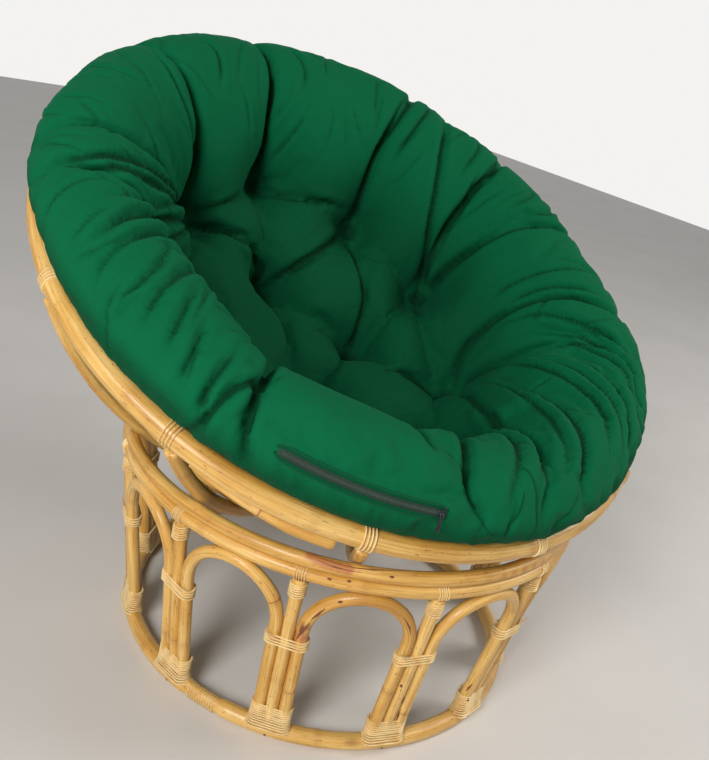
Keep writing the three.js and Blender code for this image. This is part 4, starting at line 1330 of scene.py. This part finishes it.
cushion = closed_sheet("cushion_cover", first_shape(), cotton)
print("first shape", len(cushion.data.vertices), "points")

# %% [markdown]
# ## Swelling the cushion
# The even grid is remeshed to one size of face, because cloth of mixed sizes would crease by its grid. The
# underside, the foot on the rim and the tufts are held. Pressure swells the rest while the cloth grows by a
# few percent, so that it puckers round the tufts as real gathered cotton does. No point may move too far.

# %% Remesh, cloth and cap
voxel = 7.8 * MM
swell_frames = 18
furthest_move = 26 * MM
zip_stands_out = 1 * MM


def read_points(mesh, key="co"):
    found = np.empty(len(mesh.vertices) * 3)
    mesh.vertices.foreach_get(key, found)
    return found.reshape(-1, 3)


def set_points(mesh, points):
    mesh.vertices.foreach_set("co", np.asarray(points, float).ravel())
    mesh.update()


def cover_places(points):
    """Angle round the axis, length over the cover, and the (radius, height) in the bowl's frame, of points."""
    local = (points - bowl_centre) @ bowl_frame.T
    section = np.stack([np.hypot(local[:, 0], local[:, 1]), local[:, 2]], axis=1)
    nearest = np.empty(len(points), int)
    for part in np.array_split(np.arange(len(points)), len(points) // 20000 + 1):
        nearest[part] = ((section[part, None] - outline[None]) ** 2).sum(axis=2).argmin(axis=1)
    return np.arctan2(local[:, 1], local[:, 0]), np.r_[top_along, foot_along + bottom_along][nearest], section


even = cushion.modifiers.new("even", "REMESH")
even.mode, even.voxel_size = "VOXEL", voxel
bake_modifiers(cushion)
start = read_points(cushion.data)
angle, length, _ = cover_places(start)
held = np.clip((0.022 - tuft_gap(on_flat(angle, length))) / 0.010, 0, 1)
held = np.maximum(held, np.clip((length - foot_along + 0.045) / 0.035, 0, 1))
held = np.maximum(held, in_zip_band(angle, length, ramp=0.010))
print("even mesh", len(start), "points, held", int((held > 0.5).sum()))


def swelled(piece, held):
    """Where the cloth's points are after the simulation, with the held ones left where they were."""
    group = piece.vertex_groups.new(name="held")
    for weight in np.unique(held.round(1)):
        if weight > 0:
            group.add(np.flatnonzero(held.round(1) == weight).tolist(), float(weight), "REPLACE")
    cloth = piece.modifiers.new("swell", "CLOTH")
    settings = cloth.settings
    settings.vertex_group_mass = "held"
    settings.use_pressure = True
    settings.uniform_pressure_force = 4.0
    settings.effector_weights.gravity = 0.0
    settings.shrink_min = -0.06
    settings.quality = 4
    settings.mass = 0.25
    settings.tension_stiffness = settings.compression_stiffness = 18.0
    settings.shear_stiffness = 6.0
    settings.bending_stiffness = 0.08
    cloth.point_cache.frame_start, cloth.point_cache.frame_end = 1, swell_frames
    for moment in range(1, swell_frames + 1):
        bpy.context.scene.frame_set(moment)
    seen = piece.evaluated_get(bpy.context.evaluated_depsgraph_get())
    after = read_points(seen.data)
    piece.modifiers.clear()
    piece.vertex_groups.clear()
    bpy.context.scene.frame_set(1)
    return after


def pressed(points, low, most):
    """Points of the zip's band that stand more than most over the outline, moved back to that height."""
    angle, length, section = cover_places(points)
    nearest = np.searchsorted(top_along, np.minimum(length, foot_along) - 1e-6)
    normal = turned_normals(top_line)[nearest]
    over = np.maximum(((section - top_line[nearest]) * normal).sum(axis=1) - most, 0)
    section = section - normal * (over * in_zip_band(angle, length, low) * (length < foot_along))[:, None]
    return in_bowl(spun(section[:, 0], section[:, 1], angle))


moved = swelled(cushion, held) - start
reach = np.linalg.norm(moved, axis=1, keepdims=True)
print("cloth moved up to", round(float(reach.max()), 4), "middle", round(float(np.median(reach)), 4))
start = start + moved * np.minimum(1, furthest_move / np.maximum(reach, 1e-9))
set_points(cushion.data, pressed(pressed(start, pull_reach, zip_stands_out), zip_half_band, -zip_sunk))

# %% Finer mesh and the narrow folds
finer = cushion.modifiers.new("finer", "SUBSURF")
finer.levels = finer.render_levels = 1
bake_modifiers(cushion)
points, normals = read_points(cushion.data), read_points(cushion.data, "normal")
angle, length, section = cover_places(points)
upper = np.flatnonzero(length < foot_along)
out, fold = np.zeros(len(points)), np.zeros(len(points))
out[upper], fold[upper] = creased(angle[upper], length[upper])
foot = np.clip((foot_along - length) / 0.03, 0, 1)
set_points(cushion.data, points + normals * (out * foot)[:, None])
eased = cushion.modifiers.new("eased", "SMOOTH")
eased.factor, eased.iterations = 0.5, 2
bake_modifiers(cushion)
# The fold attribute is the mask of painted shade in the narrow folds and round the buttons
store(cushion.data, "fold", fold * foot)
store(cushion.data, "cloth", spun(length, section[:, 1], angle))
cushion.data.materials.clear()
cushion.data.materials.append(cotton)
cushion.data.polygons.foreach_set("use_smooth", [True] * len(cushion.data.polygons))
finished(cushion, "cushion", "cotton", "cushion")
print("cushion", len(cushion.data.polygons), "faces")

# %% [markdown]
# ## The zip
# A zip at the cushion's front lets the cover come off. Two woven tapes are stitched under the folded edges of
# the cloth, a coil of nylon teeth closes them, and a slider with a hanging pull runs along it. The band is
# turned round the bowl's axis, so the slider keeps on it when it turns there.

# %% A band turned round the bowl's axis
zip_down = unit(top_line[zip_at + 1] - top_line[zip_at - 1])
zip_out = np.array([-zip_down[1], zip_down[0]])
zip_middle = top_line[zip_at] - zip_out * zip_sunk
tape_half, tape_thickness, tape_lift = 8 * MM, 1.0 * MM, 0.1 * MM
welt_half, welt_lift = 1.2 * MM, 0.2 * MM
band_step, taper_share = 0.003, 0.06


def banded(name, first, last, section, material, taper=0.0):
    """A closed section, as (down, out) points in metres, turned from one angle to another in degrees."""
    section = np.asarray(section)
    angles = np.radians(np.linspace(first, last, int(radians(last - first) * zip_radius / band_step)))
    share = np.linspace(0, 1, len(angles))
    narrowed = np.maximum(1 - share / taper_share, 0) + np.maximum(1 - (1 - share) / taper_share, 0)
    scale = (1 - taper * narrowed)[:, None, None]
    spots = zip_middle + section[None, :, :1] * scale * zip_down + section[None, :, 1:] * scale * zip_out
    count, around = spots.shape[:2]
    faces = grid_faces(count, around, inward=True)
    faces += [list(range(around)), list(range(count * around - 1, (count - 1) * around - 1, -1))]
    verts = in_bowl(spun(spots[..., 0], spots[..., 1], angles[:, None]).reshape(-1, 3))
    cloth = np.column_stack([np.repeat(angles, around) * zip_radius, np.tile(section, (count, 1))])
    return mesh_object(name, verts, faces, material, {"cloth": cloth, "fold": np.zeros(len(cloth))})


def rounded(middle, half_width, low, high, count=12):
    """An oval section from low to high, as (down, out) points."""
    across, over, _ = circle(1.0, 0.0, count=count).T
    return np.stack([middle + half_width * across, (low + high) / 2 - (high - low) / 2 * over], axis=1)


tape_section = [(tape_half, tape_lift), (tape_half, tape_thickness), (welt_half, tape_thickness + welt_lift),
                (0, tape_thickness), (-welt_half, tape_thickness + welt_lift), (-tape_half, tape_thickness),
                (-tape_half, tape_lift)]
tape = banded("zip_tape_cloth", zip_from, zip_to, tape_section, zip_cloth)
finished(tape, "cushion", "zip_tape", "zip_tape")
zip_sides = {"upper": -1, "lower": 1}
for side, way in zip_sides.items():
    lip = banded(f"zip_{side}_edge", zip_from - 0.5, zip_to + 0.3,
                 rounded(way * 7.6 * MM, 3.0 * MM, -1.2 * MM, 2.3 * MM), cotton, taper=0.5)
    finished(lip, "cushion", "cotton")
print("zip's tape", round(radians(zip_to - zip_from) * zip_radius, 4), "long")

# %% Teeth and stitches by Geometry Nodes


def row_tree():
    """Small rounded pieces at even steps along a circle round the Z axis, tilted to the band."""
    made = Tree("zip_row", {"First": 0.0, "Step": 0.003, "Count": 10, "Radius": 0.5, "Height": 0.0, "Tilt": 0.0,
                            "Thickness": 0.001, "Length": 0.001, "Breadth": 0.003, "Material": None})
    given, times, vector, node = made.given, made.times, made.vector, made.node
    angle = made.plus(times(node("GeometryNodeInputIndex"), given("Step")), given("First"))
    place = vector(times(made.maths("COSINE", angle), given("Radius")),
                   times(made.maths("SINE", angle), given("Radius")), given("Height"))
    line = node("GeometryNodeMeshLine", {}, {"Count": given("Count")})
    points = node("GeometryNodeSetPosition", {}, {"Geometry": line, "Position": place})
    piece = node("GeometryNodeMeshUVSphere", {}, {"Segments": 8, "Rings": 6, "Radius": 0.5})
    made.put(piece, points, vector(0.0, times(given("Tilt"), -1.0), angle),
             Scale=vector(given("Thickness"), given("Length"), given("Breadth")))
    return made


zip_row = row_tree()


def row(name, place, tilt, first, step, count, size, material):
    """A row of pieces of size (thickness, length, breadth) from a (radius, height) place, turned by steps."""
    keys = ("Radius", "Height", "Thickness", "Length", "Breadth")
    sizes = {key: float(value) for key, value in zip(keys, (*place, *size))}
    return node_made(mesh_object(name, [[0, 0, 0]], [], material), zip_row, {
        "First": first, "Step": step, "Count": count, "Tilt": tilt, "Material": material, **sizes})


def zip_pieces(name, down, lift, gap, size, material, slot, shift=0.0):
    """A row on the zip's band, turned into the row's frame."""
    place = zip_middle + zip_down * down + zip_out * lift
    step = gap / place[0]
    made = row(name, place, float(np.arctan2(zip_out[1], zip_out[0])), radians(zip_from + 0.6) + step * shift,
               step, int(radians(zip_to - zip_from - 1.2) / step), size, material)
    set_points(made.data, in_bowl(read_points(made.data)))
    finished(made, "cushion", slot)


tooth_size, stitch_size = (1.1 * MM, 1.05 * MM, 3.0 * MM), (0.55 * MM, 2.5 * MM, 0.55 * MM)
for side, way in zip_sides.items():
    zip_pieces(f"zip_teeth_{side}", way * 0.8 * MM, tape_thickness + 0.35 * MM, 1.7 * MM, tooth_size, zip_coil,
               "zip_tape", shift=0.5 * (way > 0))
    zip_pieces(f"zip_stitches_{side}", way * 9.4 * MM, 1.75 * MM, 3.4 * MM, stitch_size, thread, "cotton")

# %% [markdown]
# The slider is cast metal: a plate over the teeth with rounded shoulders, a small bridge, and a flat pull that
# hangs from it on a ring and lies down on the cloth.

# %% Slider and pull
slider_angle = radians(-110.7)
slider_along = spun(1.0, 0.0, slider_angle + pi / 2)
slider_down, slider_out, slider_place = (spun(*pair, slider_angle) for pair in (zip_down, zip_out, zip_middle))
edge_bevel = 0.35 * MM


def on_slider(along, down, out):
    """Places in the slider's own directions, in mm, as points in the row's frame."""
    along, down, out = (np.asarray(v, float)[..., None] * MM for v in (along, down, out))
    return in_bowl(slider_place + along * slider_along + down * slider_down + out * slider_out)


def slider_part(made):
    return finished(made, "zip_slider", "zip_metal")


def plate(name, outline, low, high):
    """A flat metal piece with this outline of (along, down) places, from low to high over the band, in mm."""
    along, down = np.asarray(outline, float).T
    count = len(along)
    verts = np.vstack([on_slider(along, down, np.full(count, level)) for level in (low, high)])
    faces = [list(range(count))[::-1], list(range(count, 2 * count)), *grid_faces(2, count)]
    made = mesh_object(name, verts, faces, zip_metal)
    edge = made.modifiers.new("edge", "BEVEL")
    edge.width, edge.segments, edge.limit_method = edge_bevel, 2, "ANGLE"
    bake_modifiers(made)
    return slider_part(made)


def wire(name, places, thickness, seed, **looks):
    return slider_part(stem(name, on_slider(*places), thickness, step=0.0006, seed=seed, material=zip_metal,
                            **slim, **looks))


def oval(half_long, half_wide, count=20, power=2.6):
    """A rounded outline of (along, down) places."""
    way = circle(1.0, 0.0, count=count)[:, :2]
    return [half_long, half_wide] * np.sign(way) * np.abs(way) ** (2 / power)


pull_side = [(1.5, 4.6), (1.9, 8), (2.6, 17), (2.4, 20.5), (1.4, 22.4)]
pull_outline = [(-1.5, 4.6), *pull_side, (0, 23), *[(-a, d) for a, d in pull_side[:0:-1]]]
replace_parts(plate("zip_slider_plate", oval(5.6, 4.4), 2.1, 3.4), "zip_slider")
wire("zip_slider_bridge", ([-3.4, -2.8, -1.2, 1.2, 2.8, 3.4], [0] * 6, [3.3, 4.3, 5.0, 5.0, 4.3, 3.3]),
     1.5 * MM, 300, sides=10)
ring_along, ring_rise, _ = circle(1.0, 0.0, count=24).T
wire("zip_slider_ring", (1.9 * ring_along, 2.6 + 3.0 * ring_rise, 4.4 + 0.9 * ring_rise), 0.9 * MM, 301,
     closed=True, sides=8)
plate("zip_slider_pull", pull_outline, 4.4, 5.5)
print("slider and pull")

# %% [markdown]
# ## The cover's piping
# Each panel of the cover ends in a rolled seam. Near the front one of them shows as a loop of thin cord that
# turns up again before the rim, so it is a cord swept over the finished cover.

# %% Cord along seams
piping = 2.4 * MM
piping_lift, piping_reach = 0.4 * MM, 6 * MM
seams = {"front": [(-107, 585), (-105.5, 615), (-103, 645), (-100.5, 664), (-98.6, 650), (-97.6, 625),
                   (-96.5, 598)],
         "side": [(-94.5, 560), (-94, 600), (-93.5, 640), (-93, 680)]}
cover_angle, cover_length, _ = cover_places(read_points(cushion.data))
cover_flat = on_flat(cover_angle, cover_length)
cover_lifted = read_points(cushion.data) + read_points(cushion.data, "normal") * piping_lift
above_foot = cover_length < foot_along


def on_cover(places):
    """A smooth line just over the finished cover through places given as (degrees, mm)."""
    found = []
    for spot in respaced(smooth_through(flat(places), 24), 0.003)[0]:
        near = np.flatnonzero((np.abs(cover_flat - spot).max(axis=1) < piping_reach) & above_foot)
        weight = bell(np.linalg.norm(cover_flat[near] - spot, axis=1), piping_reach / 2.5)[:, None]
        found.append((cover_lifted[near] * weight).sum(axis=0) / weight.sum())
    found = np.array(found)
    for _ in range(3):
        found[1:-1] = (found[:-2] + 2 * found[1:-1] + found[2:]) / 4
    return found


for number, (name, places) in enumerate(seams.items()):
    cord = stem(f"cushion_piping_{name}", on_cover(places), piping, sides=10, step=0.002, seed=310 + number,
                material=cotton, **slim,
                girth=lambda share: np.clip(np.minimum(share, 1 - share) / 0.06, 0.4, 1))
    cord.data.attributes["grain"].name = "cloth"
    finished(cord, "cushion", "cotton")
print("piping:", list(seams))

# %% [markdown]
# ## Nails
# A short nail goes through the foot of each station into the hoop, and its flat head shows below the cane.
# Twelve of them stand at even angles, so the zip's tree of small rounded pieces makes them too.

# %% Nail heads
nail_turn = radians(-22)
nail_size = (2.2 * MM, 4.2 * MM, 4.2 * MM)
nail_place = (foot_radius + foot_pole / 2 * cos(nail_turn), foot_height + foot_pole / 2 * sin(nail_turn))
nail_heads = row("nail_heads", nail_place, nail_turn, station_angle / 2, station_angle, station_count,
                 nail_size, nail_metal)
set_points(nail_heads.data, read_points(nail_heads.data) + base_shift)
finished(nail_heads, "base", "zip_metal")

# %% [markdown]
# ## Floor and light
# A plain pale floor and backdrop, a broad soft lamp from the window side, a weaker one from the other side and
# a pale world. White for the camera comes from the world's camera rays, and never from more light.

# %% Floor, lamps and world
floor_reach = 6.0
floor_dark, floor_light = (0.70, 0.68, 0.66), (0.74, 0.72, 0.70)
floor_finish = Finish("floor_plain")
floor_fine = floor_finish.noise(floor_finish.place(), 3.0)
floor_colour = floor_finish.mix(floor_fine.rise(0.3, 0.7), floor_dark, floor_light)
floor_finish.surface(base_color=floor_colour, roughness=0.45)
floor_corners = [[x * floor_reach, y * floor_reach, 0] for x, y in ((-1, -1), (1, -1), (1, 1), (-1, 1))]
floor = mesh_object("floor_plain", floor_corners, [[0, 1, 2, 3]], floor_finish.material, smooth=False)


def area_lamp(name, place, target, size, power, colour):
    data = bpy.data.lights.new(name, "AREA")
    data.shape, data.size, data.energy, data.color = "DISK", size, power, colour
    lamp = placed(name, data)
    lamp.location = place
    lamp.rotation_euler = (Vector(target) - Vector(place)).to_track_quat("-Z", "Y").to_euler()


area_lamp("window_lamp", (-2.3, -1.35, 1.75), (0, 0, 0.4), 1.2, 70.0, (1.0, 0.98, 0.95))
area_lamp("room_lamp", (2.3, -1.3, 2.4), (0.1, 0, 0.3), 1.6, 50.0, (1.0, 0.97, 0.92))

world = bpy.data.worlds.new("pale_world")
bpy.context.scene.world = world
world.use_nodes = True
links, nodes = world.node_tree.links, world.node_tree.nodes
nodes.clear()


def backdrop(colour, strength):
    made = nodes.new("ShaderNodeBackground")
    made.inputs["Color"].default_value, made.inputs["Strength"].default_value = colour, strength
    return made.outputs[0]


light_path, seen = nodes.new("ShaderNodeLightPath"), nodes.new("ShaderNodeMath")
either, world_end = nodes.new("ShaderNodeMixShader"), nodes.new("ShaderNodeOutputWorld")
seen.operation = "MAXIMUM"
links.new(light_path.outputs["Is Camera Ray"], seen.inputs[0])
links.new(light_path.outputs["Is Glossy Ray"], seen.inputs[1])
links.new(seen.outputs[0], either.inputs["Fac"])
links.new(backdrop((1.0, 0.99, 0.97, 1.0), 0.18), either.inputs[1])
links.new(backdrop((0.90, 0.89, 0.87, 1.0), 1.0), either.inputs[2])
links.new(either.outputs[0], world_end.inputs["Surface"])
bpy.context.scene.view_settings.view_transform = "Standard"
print("lamps and world are set")
